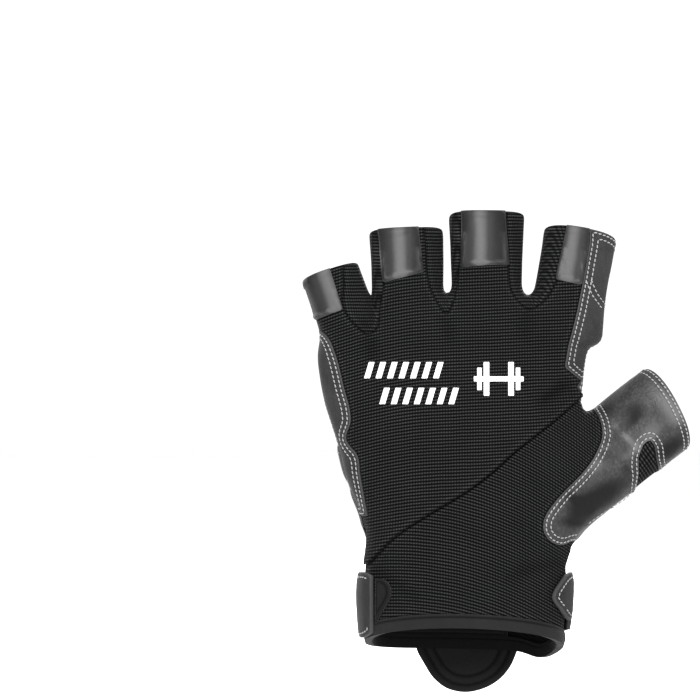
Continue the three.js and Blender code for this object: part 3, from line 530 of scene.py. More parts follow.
@dataclass
class HandForm:
    """The glove's outer form as a distance field, with its folds."""

    shoulder: float = 2.5
    finger_shoulder: float = 2.4
    thumb_shoulder: float = 2.2
    crotch_blend: float = 9.0
    root_blend: float = 4.0
    web_blend: float = 2.5
    hand_blend: float = 5.0
    thumb_start: float = 24.0
    thumb_blend: float = 6.0
    # An opening is a finger's from this far along it, and the thumb's past these two lines
    finger_from: float = 8.0
    thumb_across: float = 24.0
    thumb_from: float = 45.0
    noise: Noise = field(default_factory=lambda: Noise(7))
    # side, start x and z, end x and z, height, half width
    folds: tuple[tuple[int, float, float, float, float, float, float], ...] = (
        (1, 28.4, 44, 21.2, 22.5, -1.7, 1.5),
        (1, 51.5, 53.5, 53.6, 66, -1, 1.1),
        (1, 53.6, 63.5, 47.5, 71.8, -1, 1.1),
        (1, 50.4, 56.5, 48.4, 68.5, 0.9, 1.7),
        (1, 48.2, 59, 41.5, 70.8, -1, 1.3),
        (1, 33, 46, 26, 27, 1, 2.4),
        (1, 38, 60, 32, 46, -0.9, 1.8),
        (1, 45, 66, 36, 53, 0.8, 2.4),
        (1, 60, 74, 66, 66, -0.6, 1.8),
        (1, 38, 31, 21, 21, -1.5, 1.5),
        (1, 37, 37, 25, 26.5, -1.4, 1.3),
        (1, 37.5, 34, 23, 24, 0.9, 1.3),
        (1, 42, 83, 36, 76, -0.8, 1.6),
        (1, 51, 112.6, 28, 110, -1.3, 1.4),
        (1, -12.2, 106, -23, 102.6, -1.2, 1.4),
        (1, -37.4, 102, -51.8, 96.5, -1.2, 1.4),
        (1, 14, 112, -2, 112, -0.6, 1.6),
        (-1, 47.5, 70, 60, 76, -0.6, 1.8),
        (-1, 45, 63, 57, 60, -0.7, 1.8),
        (-1, 52, 58, 66, 73, 0.7, 1.8),
        (-1, 33, 49, 43, 46, -0.6, 1.6),
        (-1, 30, 42, 40, 38, -0.5, 1.6),
        (-1, 36.6, 29.5, 32.4, 26, 0.9, 1.6),
        (-1, -36, 22, -18, 14, -0.5, 2.4),
        (-1, 34, 26, 14, 20, -0.5, 2.4),
        (-1, 36, 88, 24, 84, -0.8, 2.2),
        (-1, -38, 112, -36, 98, -0.6, 2.6),
        (-1, -8.4, 118, -8, 104, -0.5, 2.6),
        (-1, 21.5, 118, 20, 104, -0.5, 2.8),
    )

    @staticmethod
    def curl(z: Array) -> Array:
        """How far the middle of the glove bends to the palm at a height."""
        return 6 * np.maximum((z - 60) / 90, 0) ** 2

    @staticmethod
    def thumb_place(x: Array, z: Array) -> tuple[Array, Array]:
        """Distances along and across the thumb."""
        across, up = THUMB_WAY
        return across * x + up * z, -up * x + across * z - THUMB_OFFSET

    def skin_field(self, p: Array) -> Array:
        """Signed distance to the outer form at points, negative inside.

        Args:
            p: The points.

        Returns:
            One distance for each point.
        """
        x, y, z = p.T
        left, right = curve(BODY, "z", "left", z), curve(BODY, "z", "right", z)
        v = y - self.curl(z)
        depth = np.where(v < 0, curve(BODY, "z", "back", z), curve(BODY, "z", "palm", z))
        hand = oval(x - (left + right) / 2, v, self.shoulder, (right - left) / 2, depth)
        hand = soft_max(hand, z - curve(CROTCH, "x", "z", x), self.crotch_blend)
        fingers = np.full(len(p), 30.0)
        for finger in FINGERS:
            along, across, length = finger.place(x, z)
            s = np.clip(along / length, 0, 1.3)
            low, middle, top = finger.widths
            w = low * (2 * s - 1) * (s - 1) + middle * 4 * s * (1 - s) + top * s * (2 * s - 1)
            d = finger.depths[0] + (finger.depths[1] - finger.depths[0]) * np.minimum(s, 1.2)
            tube = oval(across, v, self.finger_shoulder, w, d)
            tube = soft_max(tube, -along, self.root_blend)
            fingers = soft_min(fingers, tube, self.web_blend)
        u, across = self.thumb_place(x, z)
        thumb = oval(across, y - curve(THUMB, "along", "middle", u), self.thumb_shoulder,
                     curve(THUMB, "along", "width", u), curve(THUMB, "along", "depth", u))
        thumb = soft_max(thumb, self.thumb_start - u, self.thumb_blend)
        return soft_min(soft_min(hand, fingers, self.hand_blend), thumb, self.thumb_blend)

    def gradient(self, p: Array) -> Array:
        """Slope of the distance field at points.

        Args:
            p: The points.

        Returns:
            One slope vector for each point.
        """
        e = 0.05
        slopes = []
        for axis in np.eye(3) * e:
            slopes.append((self.skin_field(p + axis) - self.skin_field(p - axis)) / (2 * e))
        return np.stack(slopes, axis=1)

    def to_skin(self, p: Array, steps: int = 3) -> Array:
        """Moves points on to the skin along the slope of the field.

        Args:
            p: The points.
            steps: How many steps each point takes.

        Returns:
            The moved points.
        """
        for _ in range(steps):
            g = self.gradient(p)
            scale = self.skin_field(p) / np.maximum((g * g).sum(axis=1), 0.05)
            p = p - g * scale[:, None]
        return p

    def side(self, p: Array) -> Array:
        """Which side of the hand points are on: negative is the back.

        Args:
            p: The points.

        Returns:
            The distance from the middle sheet, positive on the palm side.
        """
        u, across = self.thumb_place(p[:, 0], p[:, 2])
        on_thumb = smooth(40, 70, u) * (1 - smooth(16, 24, across))
        thumb = curve(THUMB, "along", "middle", u)
        return p[:, 1] - (self.curl(p[:, 2]) * (1 - on_thumb) + thumb * on_thumb)

    def two_sided(self, back: Outline, palm: Outline) -> Field:
        """Field of an outline that differs between the back and the palm.

        Args:
            back: The outline on the back.
            palm: The outline on the palm.

        Returns:
            The field.
        """
        def at(p: Array) -> Array:
            """The back's field on the back and the palm's field on the palm."""
            x, z = p[:, 0], p[:, 2]
            return np.where(self.side(p) < 0, outline_field(back, x, z), outline_field(palm, x, z))

        return at

    def one_side(self, points: Outline, palm: bool) -> Field:
        """Field of an outline on one side of the hand only."""
        sign = -1.0 if palm else 1.0
        return lambda p: np.maximum(outline_field(points, p[:, 0], p[:, 2]), sign * self.side(p))

    def mouth(self, p: Array) -> Array:
        """Height of the wrist opening's edge at points."""
        x, v = p[:, 0], p[:, 1] - self.curl(p[:, 2])
        corner = MOUTH_CORNER * hump(x - 27, 6) * smooth(0, 12, v)
        return MOUTH + MOUTH_SLANT * v - MOUTH_BOW * (x / 36) ** 2 - MOUTH_TILT * x - corner

    def openings(self, p: Array) -> Array:
        """Positive beyond the opening of a finger, the thumb or the wrist.

        Args:
            p: The points.

        Returns:
            The distance past the opening's edge, negative on the glove.
        """
        x, y, z = p.T
        v = y - self.curl(z)
        mouth = self.mouth(p) - z
        nearest = np.full(len(p), HUGE)
        finger_cut = np.full(len(p), -HUGE)
        for finger in FINGERS:
            along, across, _ = finger.place(x, z)
            pick = (along > self.finger_from) & (np.abs(across) < nearest)
            nearest = np.where(pick, np.abs(across), nearest)
            beyond = along - self.rim(finger.edges, v / finger.depths[1])
            finger_cut = np.where(pick, beyond, finger_cut)
        u, across = self.thumb_place(x, z)
        depth = (y - curve(THUMB, "along", "middle", u)) / curve(THUMB, "along", "depth", u)
        thumb_cut = u - THUMB_LEAN * across - self.rim(THUMB_EDGES, depth)
        by_finger = (nearest < HUGE) & (across > self.thumb_across)
        cut = np.where(by_finger, finger_cut, np.where(x > self.thumb_from, thumb_cut, -HUGE))
        return np.maximum(mouth, cut)

    @staticmethod
    def rim(edges: tuple[float, float, float], depth: Array) -> Array:
        """Edge of an opening at a part of the depth, from its lengths at the back, flank and palm."""
        t = np.clip(depth, -1.3, 1.3)
        back, flank, palm = edges
        return flank + (palm - back) / 2 * t + ((palm + back) / 2 - flank) * t * t

    def binding(self, p: Array) -> Array:
        """Field of the cuff binding, negative inside it."""
        return p[:, 2] - self.mouth(p) - BINDING_HEIGHT

    def wrapped(self, p: Array, palm: Outline, left: Outline, right: Outline) -> Array:
        """Field of a piece on the palm that wraps on to both edges of the back.

        Args:
            p: The points.
            palm: The outline on the palm.
            left: The outline on the back at the little finger's edge.
            right: The outline on the back at the thumb's edge.

        Returns:
            The signed distances, negative inside.
        """
        x, z = p[:, 0], p[:, 2]
        back = np.minimum(outline_field(left, x, z), outline_field(right, x, z))
        return np.where(self.side(p) >= 0, outline_field(palm, x, z), back)

    def leather(self, p: Array) -> Array:
        """Field of the suede that wraps the palm, negative inside it."""
        return self.wrapped(p, LEATHER_PALM, LEATHER_BACK_LEFT, LEATHER_BACK_INDEX)

    def overlap(self, p: Array) -> Array:
        """Field of the diagonal overlap seam, negative above it."""
        on_palm = (self.side(p) > 0) & (p[:, 0] < 0)
        return np.where(on_palm, 25 - p[:, 2], line_field(OVERLAP_SEAM, p[:, 0], p[:, 2]))

    def strap(self, p: Array) -> Array:
        """Field of the wrist strap, negative inside it."""
        return self.wrapped(p, STRAP_PALM, STRAP_BACK_LEFT, STRAP_BACK_RIGHT)

    def painted_light(self, p: Array) -> Array:
        """Painted light on the leather at points: a painted highlight above 0 and painted shade below
        0.

        Args:
            p: The points.

        Returns:
            Values from -1 to 1.
        """
        side = self.side(p)
        total = np.zeros(len(p))
        for way, cx, cz, long, wide, turn, strength in zip(*PAINTED_LIGHT_SPOTS.values()):
            c, s = math.cos(math.radians(turn)), math.sin(math.radians(turn))
            dx, dz = p[:, 0] - cx, p[:, 2] - cz
            away = ((dx * c + dz * s) / long) ** 2 + ((dz * c - dx * s) / wide) ** 2
            total += strength * np.exp(-away) * (side * way > 0)
        return np.clip(total, -1, 1)

    def creases(self, p: Array) -> Array:
        """Height of the folds alone, negative in a crease and positive on a ridge.

        Args:
            p: The points.

        Returns:
            One height for each point.
        """
        x, z = p[:, 0], p[:, 2]
        side = self.side(p)
        height = np.zeros(len(p))
        for way, ax, az, bx, bz, lift, wide in self.folds:
            ex, ez = bx - ax, bz - az
            t = ((x - ax) * ex + (z - az) * ez) / (ex * ex + ez * ez)
            away = ((x - ax) * ez - (z - az) * ex) / math.hypot(ex, ez)
            away = away + 1.2 * np.sin(t * 3 + ax)
            ends = smooth(-0.25, 0.25, t) * smooth(1.25, 0.75, t)
            height += lift * hump(away, wide) * ends * smooth(0, 4, way * side)
        return height

    def relief(self, p: Array) -> Array:
        """Height of folds and soft undulation over the plain form at points on the skin.

        Args:
            p: The points.

        Returns:
            One height for each point.
        """
        z = p[:, 2]
        calm = 1 - 0.85 * smooth(24, 14, z)
        height = (0.32 * self.noise.at(p, 17) + 0.16 * self.noise.at(p + 40, 7.5)) * calm
        u, across = self.thumb_place(p[:, 0], z)
        on_thumb = smooth(46, 62, u) * (1 - smooth(15, 22, across))
        crumple = self.noise.at(p * [1, 1, 0.6], 8.5) - 0.4 * np.abs(self.noise.at(p + 9, 5.0))
        return height + 0.45 * on_thumb * crumple + self.creases(p)


@dataclass
class Skin:
    """A triangle mesh of the skin that can be cut along the zero line of a field."""

    form: HandForm
    points: Array = field(default_factory=lambda: np.zeros((0, 3)))
    faces: Array = field(default_factory=lambda: np.zeros((0, 3), int))
    labels: Array = field(default_factory=lambda: np.zeros(0, int))
    fixed: Array = field(default_factory=lambda: np.zeros(0, bool))
    normals: Array = field(default_factory=lambda: np.zeros((0, 3)))
    # How near a cut takes a corner along: in millimetres once fixed, else a part of the edge
    fixed_reach: float = 0.06
    free_reach: float = 0.3
    overlay_margin: float = 4.0

    def mesh(self, cell: float) -> None:
        """Meshes the form by surface nets and evens out the corners.

        Args:
            cell: The edge of one cell, in millimetres.
        """
        low = np.array(MESH_LOW)
        count = (np.ceil(np.array(MESH_SIZE) / cell) + 1).astype(int)
        axes = [low[c] + cell * np.arange(count[c]) for c in range(3)]
        grid = np.stack(np.meshgrid(*axes, indexing="ij"), axis=-1)
        value = self.form.skin_field(grid.reshape(-1, 3)).reshape(count)
        below = value < 0
        total = np.zeros((*count, 3))
        hits = np.zeros(count)
        edges = []
        for axis in range(3):
            here = [slice(None)] * 3
            there = [slice(None)] * 3
            here[axis], there[axis] = slice(0, -1), slice(1, None)
            a, b = value[tuple(here)], value[tuple(there)]
            crossed = (a < 0) != (b < 0)
            index = np.argwhere(crossed)
            fa, fb = a[crossed], b[crossed]
            spot = low + cell * index.astype(float)
            spot[:, axis] += cell * fa / (fa - fb)
            others = [c for c in range(3) if c != axis]
            around = []
            for d0, d1 in ((-1, -1), (0, -1), (0, 0), (-1, 0)):
                at = index.copy()
                at[:, others[0]] += d0
                at[:, others[1]] += d1
                around.append(at)
                np.add.at(total, tuple(at.T), spot)
                np.add.at(hits, tuple(at.T), 1)
            edges.append((axis, below[tuple(here)][crossed], around))
        number = np.full(count, -1)
        used = hits > 0
        number[used] = np.arange(used.sum())
        points = total[used] / hits[used][:, None]
        quads = []
        for axis, inside, around in edges:
            quad = np.stack([number[tuple(at.T)] for at in around], axis=1)
            flip = inside if axis != 1 else ~inside
            quads.append(np.where(flip[:, None], quad, quad[:, ::-1]))
        quad = np.concatenate(quads)
        quad = quad[(quad >= 0).all(axis=1)]
        pairs = np.concatenate([quad[:, [c, (c + 1) % 4]] for c in range(4)])
        pairs = np.unique(np.sort(pairs, axis=1), axis=0)
        degree = np.bincount(pairs.ravel(), minlength=len(points)).astype(float)
        for _ in range(3):
            mean = np.zeros_like(points)
            np.add.at(mean, pairs[:, 0], points[pairs[:, 1]])
            np.add.at(mean, pairs[:, 1], points[pairs[:, 0]])
            mean /= np.maximum(degree, 1)[:, None]
            points = self.form.to_skin(np.where(degree[:, None] > 2, (points + mean) / 2, points), 2)
        a, b, c, d = (points[quad[:, n]] for n in range(4))
        short = np.linalg.norm(a - c, axis=1) <= np.linalg.norm(b - d, axis=1)
        first = np.where(short[:, None], quad[:, [0, 1, 2]], quad[:, [0, 1, 3]])
        second = np.where(short[:, None], quad[:, [0, 2, 3]], quad[:, [1, 2, 3]])
        self.points = points
        self.faces = np.concatenate([first, second])
        self.labels = np.full(len(self.faces), Panel.WHOLE.value)
        self.fixed = np.zeros(len(points), bool)

    def split(self, start: Panel, low: Panel, high: Panel, where: Field, on_skin: bool = True) -> None:
        """Cuts the faces of one label along the zero line of a field and labels both sides.

        Args:
            start: The label to cut.
            low: The label where the field is negative.
            high: The label where the field is positive.
            where: The field.
            on_skin: Whether new corners move on to the plain form.
        """
        mask = self.labels == start.value
        sub = self.faces[mask]
        used = np.unique(sub)
        f = np.full(len(self.points), np.nan)
        f[used] = where(self.points[used])
        pairs = np.unique(np.sort(face_edges(sub), axis=1), axis=0)
        a, b = pairs[f[pairs[:, 0]] * f[pairs[:, 1]] < 0].T
        t = f[a] / (f[a] - f[b])
        length = np.linalg.norm(self.points[a] - self.points[b], axis=1)
        snaps = []
        for here, there, part in ((a, b, t), (b, a, 1 - t)):
            reach = np.where(self.fixed[here], self.fixed_reach, self.free_reach * length)
            near = part * length < reach
            snaps += list(zip((part * length)[near], part[near], here[near], there[near]))
        moved = []
        for _, part, i, q in sorted(snaps):
            if f[i] * f[q] >= 0:
                continue
            if not self.fixed[i]:
                self.points[i] += (self.points[q] - self.points[i]) * part
                if not on_skin:
                    self.normals[i] += (self.normals[q] - self.normals[i]) * part
                moved.append(i)
            f[i] = 0
            self.fixed[i] = True
        if on_skin and moved:
            self.points[moved] = self.form.to_skin(self.points[moved], 2)
        a, b = pairs[f[pairs[:, 0]] * f[pairs[:, 1]] < 0].T
        t = (f[a] / (f[a] - f[b]))[:, None]
        fresh = self.points[a] * (1 - t) + self.points[b] * t
        if on_skin and len(fresh):
            fresh = self.form.to_skin(fresh, 2)
        if not on_skin:
            between = self.normals[a] * (1 - t) + self.normals[b] * t
            self.normals = np.concatenate([self.normals, between])
        first = len(self.points)
        made = {(int(p), int(q)): first + n for n, (p, q) in enumerate(zip(a, b))}
        self.points = np.concatenate([self.points, fresh])
        self.fixed = np.concatenate([self.fixed, np.ones(len(fresh), bool)])
        f = np.concatenate([f, np.zeros(len(fresh))])
        under = (f[sub] < 0).any(axis=1)
        over = (f[sub] > 0).any(axis=1)
        flat = ~under & ~over
        label = np.where(under, low.value, high.value)
        if flat.any():
            middle = self.points[sub[flat]].mean(axis=1)
            label[flat] = np.where(where(middle) < 0, low.value, high.value)
        both = under & over
        faces, labels = [], []
        for tri in sub[both].tolist():
            for want in (-1, 1):
                ring: list[int] = []
                for c in range(3):
                    p, q = tri[c], tri[(c + 1) % 3]
                    if f[p] * want >= 0:
                        ring.append(p)
                    if f[p] * f[q] < 0:
                        ring.append(made[(min(p, q), max(p, q))])
                for c in range(1, len(ring) - 1):
                    faces.append((ring[0], ring[c], ring[c + 1]))
                    labels.append(low.value if want < 0 else high.value)
        parts = [self.faces[~mask], sub[~both]]
        marks = [self.labels[~mask], label[~both]]
        if faces:
            parts.append(np.array(faces))
            marks.append(np.array(labels))
        self.faces = np.concatenate(parts)
        self.labels = np.concatenate(marks)

    def compute_normals(self) -> None:
        """Smooth corner normals from the faces around each corner."""
        a, b, c = (self.points[self.faces[:, n]] for n in range(3))
        area = np.cross(b - a, c - a)
        total = np.zeros_like(self.points)
        for n in range(3):
            np.add.at(total, self.faces[:, n], area)
        self.normals = unit(total)

    def crease(self) -> None:
        """Lays the folds on the skin, once all the cuts are made."""
        self.normals = unit(self.form.gradient(self.points))
        self.points = self.points + self.normals * self.form.relief(self.points)[:, None]
        self.compute_normals()

    def pick(self, label: Panel) -> "Cut":
        """The largest connected piece of one label.

        Args:
            label: The label.

        Returns:
            The piece.
        """
        faces = self.faces[self.labels == label.value]
        group = np.arange(len(self.points))
        while True:
            lowest = group[faces].min(axis=1)
            before = group.copy()
            for n in range(3):
                np.minimum.at(group, faces[:, n], lowest)
            group = group[group]
            if (group == before).all():
                break
        a, b, c = (self.points[faces[:, n]] for n in range(3))
        area = np.linalg.norm(np.cross(b - a, c - a), axis=1)
        of = group[faces[:, 0]]
        best = np.bincount(of, weights=area).argmax()
        faces = faces[of == best]
        used, faces = np.unique(faces, return_inverse=True)
        return Cut(self.points[used], self.normals[used], faces.reshape(-1, 3))

    def overlay(self, where: Field, finer: int = 0) -> "Cut":
        """Copies a part of the skin out by a field, on the creased skin.

        Args:
            where: The field, negative inside the piece.
            finer: How many times the faces near the piece are divided first.

        Returns:
            The copied piece.
        """
        copy = Skin(self.form, self.points.copy(), self.faces[self.labels != Panel.WASTE.value])
        copy.normals = self.normals.copy()
        values = where(copy.points)
        copy.faces = copy.faces[(values[copy.faces] < self.overlay_margin).any(axis=1)]
        for _ in range(finer):
            pairs = np.sort(face_edges(copy.faces), axis=1)
            unique, back = np.unique(pairs, axis=0, return_inverse=True)
            back = back.reshape(3, -1) + len(copy.points)
            copy.points = np.concatenate([copy.points, copy.points[unique].mean(axis=1)])
            copy.normals = np.concatenate([copy.normals, copy.normals[unique].mean(axis=1)])
            (a, b, c), (p, q, r) = copy.faces.T, back
            rows = ((a, p, r), (p, b, q), (r, q, c), (p, q, r))
            copy.faces = np.concatenate([np.stack(row, axis=1) for row in rows])
        copy.labels = np.full(len(copy.faces), Panel.WHOLE.value)
        copy.fixed = np.zeros(len(copy.points), bool)
        copy.fixed[border_edges(copy.faces).ravel()] = True
        copy.split(Panel.WHOLE, Panel.PIECE, Panel.REST, where, on_skin=False)
        return copy.pick(Panel.PIECE)


def border_edges(faces: Array) -> Array:
    """Directed edges of a mesh that only one face has.

    Args:
        faces: The corner numbers of each triangle.

    Returns:
        Rows of two corner numbers.
    """
    edges = face_edges(faces)
    size = int(faces.max()) + 1 if len(faces) else 1
    code = edges[:, 0] * size + edges[:, 1]
    reverse = edges[:, 1] * size + edges[:, 0]
    return edges[~np.isin(code, reverse)]


@dataclass
class Cut:
    """One piece cut from the skin: an open sheet with normals and named numbers per corner."""

    points: Array
    normals: Array
    faces: Array
    facts: dict[str, Array] = field(default_factory=dict)

    def border_distance(self) -> Array:
        """Distance of each corner to the border."""
        start, end = (self.points[side] for side in border_edges(self.faces).T)
        steps = np.linspace(0, 1, 5)[:-1]
        dense = np.concatenate([start * (1 - s) + end * s for s in steps])
        tree = KDTree(len(dense))
        for n, p in enumerate(dense):
            tree.insert(p, n)
        tree.balance()
        return np.array([tree.find(p)[2] for p in self.points])

    @property
    def flat(self) -> tuple[Array, Array]:
        """The corners' x and z."""
        return self.points[:, 0], self.points[:, 2]

    def blank(self, name: str, value: float = FAR) -> None:
        """Sets a fact to one value everywhere."""
        self.facts[name] = np.full(len(self.points), value)

    def raised(self, lift: Array | float) -> "Cut":
        """The same piece, moved along its normals."""
        way = self.normals * np.broadcast_to(np.asarray(lift, float), (len(self.points),))[:, None]
        return Cut(self.points + way, self.normals, self.faces, self.facts)

    def contour(self, values: Array, level: float) -> list[tuple[Array, Array]]:
        """Lines of equal value over the piece.

        Args:
            values: One number for each corner.
            level: The value to follow.

        Returns:
            For each line, its points and the normals there.
        """
        s = values - level
        s = np.where(np.abs(s) < TINY, TINY, s)
        mixed = self.faces[(s[self.faces] < 0).any(axis=1) & (s[self.faces] > 0).any(axis=1)]
        links: dict[tuple[int, int], list[tuple[int, int]]] = {}
        for tri in mixed.tolist():
            keys = []
            for c in range(3):
                p, q = tri[c], tri[(c + 1) % 3]
                if s[p] * s[q] < 0:
                    keys.append((min(p, q), max(p, q)))
            links.setdefault(keys[0], []).append(keys[1])
            links.setdefault(keys[1], []).append(keys[0])
        lines = []
        left = dict.fromkeys(sorted(links, key=lambda k: len(links[k])))
        while left:
            at = next(iter(left))
            chain = [at]
            del left[at]
            while True:
                onward = [k for k in links[at] if k in left]
                if not onward:
                    break
                at = onward[0]
                chain.append(at)
                del left[at]
            if len(chain) < 6:
                continue
            closed = chain[0] in links[chain[-1]]
            if closed:
                chain.append(chain[0])
            a, b = np.array(chain).T
            t = (s[a] / (s[a] - s[b]))[:, None]
            lines.append((self.points[a] * (1 - t) + self.points[b] * t,
                          unit(self.normals[a] * (1 - t) + self.normals[b] * t)))
        return lines


def add_object(name: str, data: bpy.types.ID) -> Object:
    """Links a new object with some data into the scene."""
    obj = bpy.data.objects.new(name, data)
    bpy.context.scene.collection.objects.link(obj)
    return obj


def face_outwards(obj: Object) -> None:
    """Turns the faces of a closed mesh outwards."""
    tidy = bmesh.new()
    tidy.from_mesh(obj.data)
    bmesh.ops.recalc_face_normals(tidy, faces=tidy.faces)
    tidy.to_mesh(obj.data)
    tidy.free()


def to_object(name: str, points: Array, faces: Sequence[Sequence[int]] | Array,
              facts: dict[str, Array], material: Material) -> Object:
    """Makes a smooth mesh object in metres from points in millimetres.

    Args:
        name: The object's name.
        points: The corners.
        faces: The corner numbers of each face.
        facts: Numbers for each corner, kept as attributes.
        material: The finish.

    Returns:
        The new object, at the origin.
    """
    mesh = bpy.data.meshes.new(name)
    rows = faces.tolist() if isinstance(faces, np.ndarray) else faces
    mesh.from_pydata((points * MM).tolist(), [], rows)
    mesh.validate()
    for key, values in facts.items():
        fact = mesh.attributes.new(key, "FLOAT", "POINT")
        fact.data.foreach_set("value", values.astype(np.float32))
    mesh.materials.append(material)
    mesh.polygons.foreach_set("use_smooth", np.ones(len(mesh.polygons), bool))
    mesh.set_sharp_from_angle(angle=SHARP_ANGLE)
    mesh.update()
    return add_object(name, mesh)


def thicken(name: str, cut: Cut, inner: Array | float, outer: Array | float,
            material: Material) -> Object:
    """Closed wall between two distances along the normals of a cut.

    Args:
        name: The object's name.
        cut: The sheet.
        inner: The inner distance, negative inwards.
        outer: The outer distance.
        material: The finish.

    Returns:
        The new object.
    """
    n = len(cut.points)
    far = np.broadcast_to(np.asarray(outer, float), (n,))[:, None]
    near = np.broadcast_to(np.asarray(inner, float), (n,))[:, None]
    points = np.concatenate([cut.points + cut.normals * far, cut.points + cut.normals * near])
    a, b = border_edges(cut.faces).T
    rims = np.stack([b, a, a + n, b + n], axis=1)
    faces = cut.faces.tolist() + (cut.faces[:, [0, 2, 1]] + n).tolist() + rims.tolist()
    facts = {key: np.concatenate([values, values]) for key, values in cut.facts.items()}
    facts["inner"] = np.concatenate([np.zeros(n), np.ones(n)])
    return to_object(name, points, faces, facts, material)


class Ops(Enum):
    """Math node operations that an expression may use."""

    ADD = "ADD"
    SUBTRACT = "SUBTRACT"
    MULTIPLY = "MULTIPLY"
    DIVIDE = "DIVIDE"
    POWER = "POWER"
    SINE = "SINE"
    ABSOLUTE = "ABSOLUTE"
    EXPONENT = "EXPONENT"


Value = Any


class Wire:
    """An output socket of a tree, with arithmetic that adds Math nodes."""

    def __init__(self, tree: "Tree", socket: bpy.types.NodeSocket) -> None:
        """Wraps a socket of a tree."""
        self.tree = tree
        self.socket = socket

    def math(self, op: Ops, a: Value, b: Value = None) -> "Wire":
        """Adds one Math node and returns its result."""
        values = {0: a} if b is None else {0: a, 1: b}
        return self.tree.node("ShaderNodeMath", {"operation": op.value}, values)

    def __add__(self, other: Value) -> "Wire":
        """Sum with a number or wire."""
        return self.math(Ops.ADD, self, other)

    __radd__ = __add__

    def __sub__(self, other: Value) -> "Wire":
        """This less a number or wire."""
        return self.math(Ops.SUBTRACT, self, other)

    def __rsub__(self, other: Value) -> "Wire":
        """A number less this."""
        return self.math(Ops.SUBTRACT, other, self)

    def __mul__(self, other: Value) -> "Wire":
        """Product with a number or wire."""
        return self.math(Ops.MULTIPLY, self, other)

    __rmul__ = __mul__

    def __truediv__(self, other: Value) -> "Wire":
        """Quotient by a number or wire."""
        return self.math(Ops.DIVIDE, self, other)

    def __pow__(self, other: Value) -> "Wire":
        """This to a power."""
        return self.math(Ops.POWER, self, other)

    def __abs__(self) -> "Wire":
        """This without its sign."""
        return self.math(Ops.ABSOLUTE, self)

    def wave(self, pitch: float) -> "Wire":
        """A wave from 0 to 1 with a crest every pitch."""
        return self.math(Ops.SINE, self * (2 * math.pi / pitch)) * 0.5 + 0.5

    def bell(self, centre: float, width: float) -> "Wire":
        """A bump of height 1 about a centre."""
        away = (self - centre) / width
        return self.math(Ops.EXPONENT, away * away * -1)

    def ramp(self, low: float, high: float) -> "Wire":
        """Rises smoothly from 0 at low to 1 at high."""
        return self.tree.node("ShaderNodeMapRange", {"interpolation_type": "SMOOTHSTEP"},
                              {"Value": self, "From Min": low, "From Max": high})


class Tree:
    """A node tree under construction."""

    def __init__(self, tree: bpy.types.NodeTree) -> None:
        """Wraps a tree."""
        self.tree = tree

    def node(self, kind: str, settings: dict[str, Any], values: dict[Any, Value],
             output: Any = 0) -> Wire:
        """Adds a node.

        Args:
            kind: The node's type.
            settings: Settings of the node, such as its operation.
            values: Numbers or wires for its input sockets, by name or number.
            output: The output socket to return.

        Returns:
            The chosen output.
        """
        made = self.tree.nodes.new(kind)
        for key, value in settings.items():
            setattr(made, key, value)
        for key, value in values.items():
            self.put(made.inputs[key], value)
        return Wire(self, made.outputs[output])

    def put(self, socket: bpy.types.NodeSocket, value: Value) -> None:
        """Sets or links an input socket."""
        if isinstance(value, Wire):
            self.tree.links.new(value.socket, socket)
        else:
            socket.default_value = value


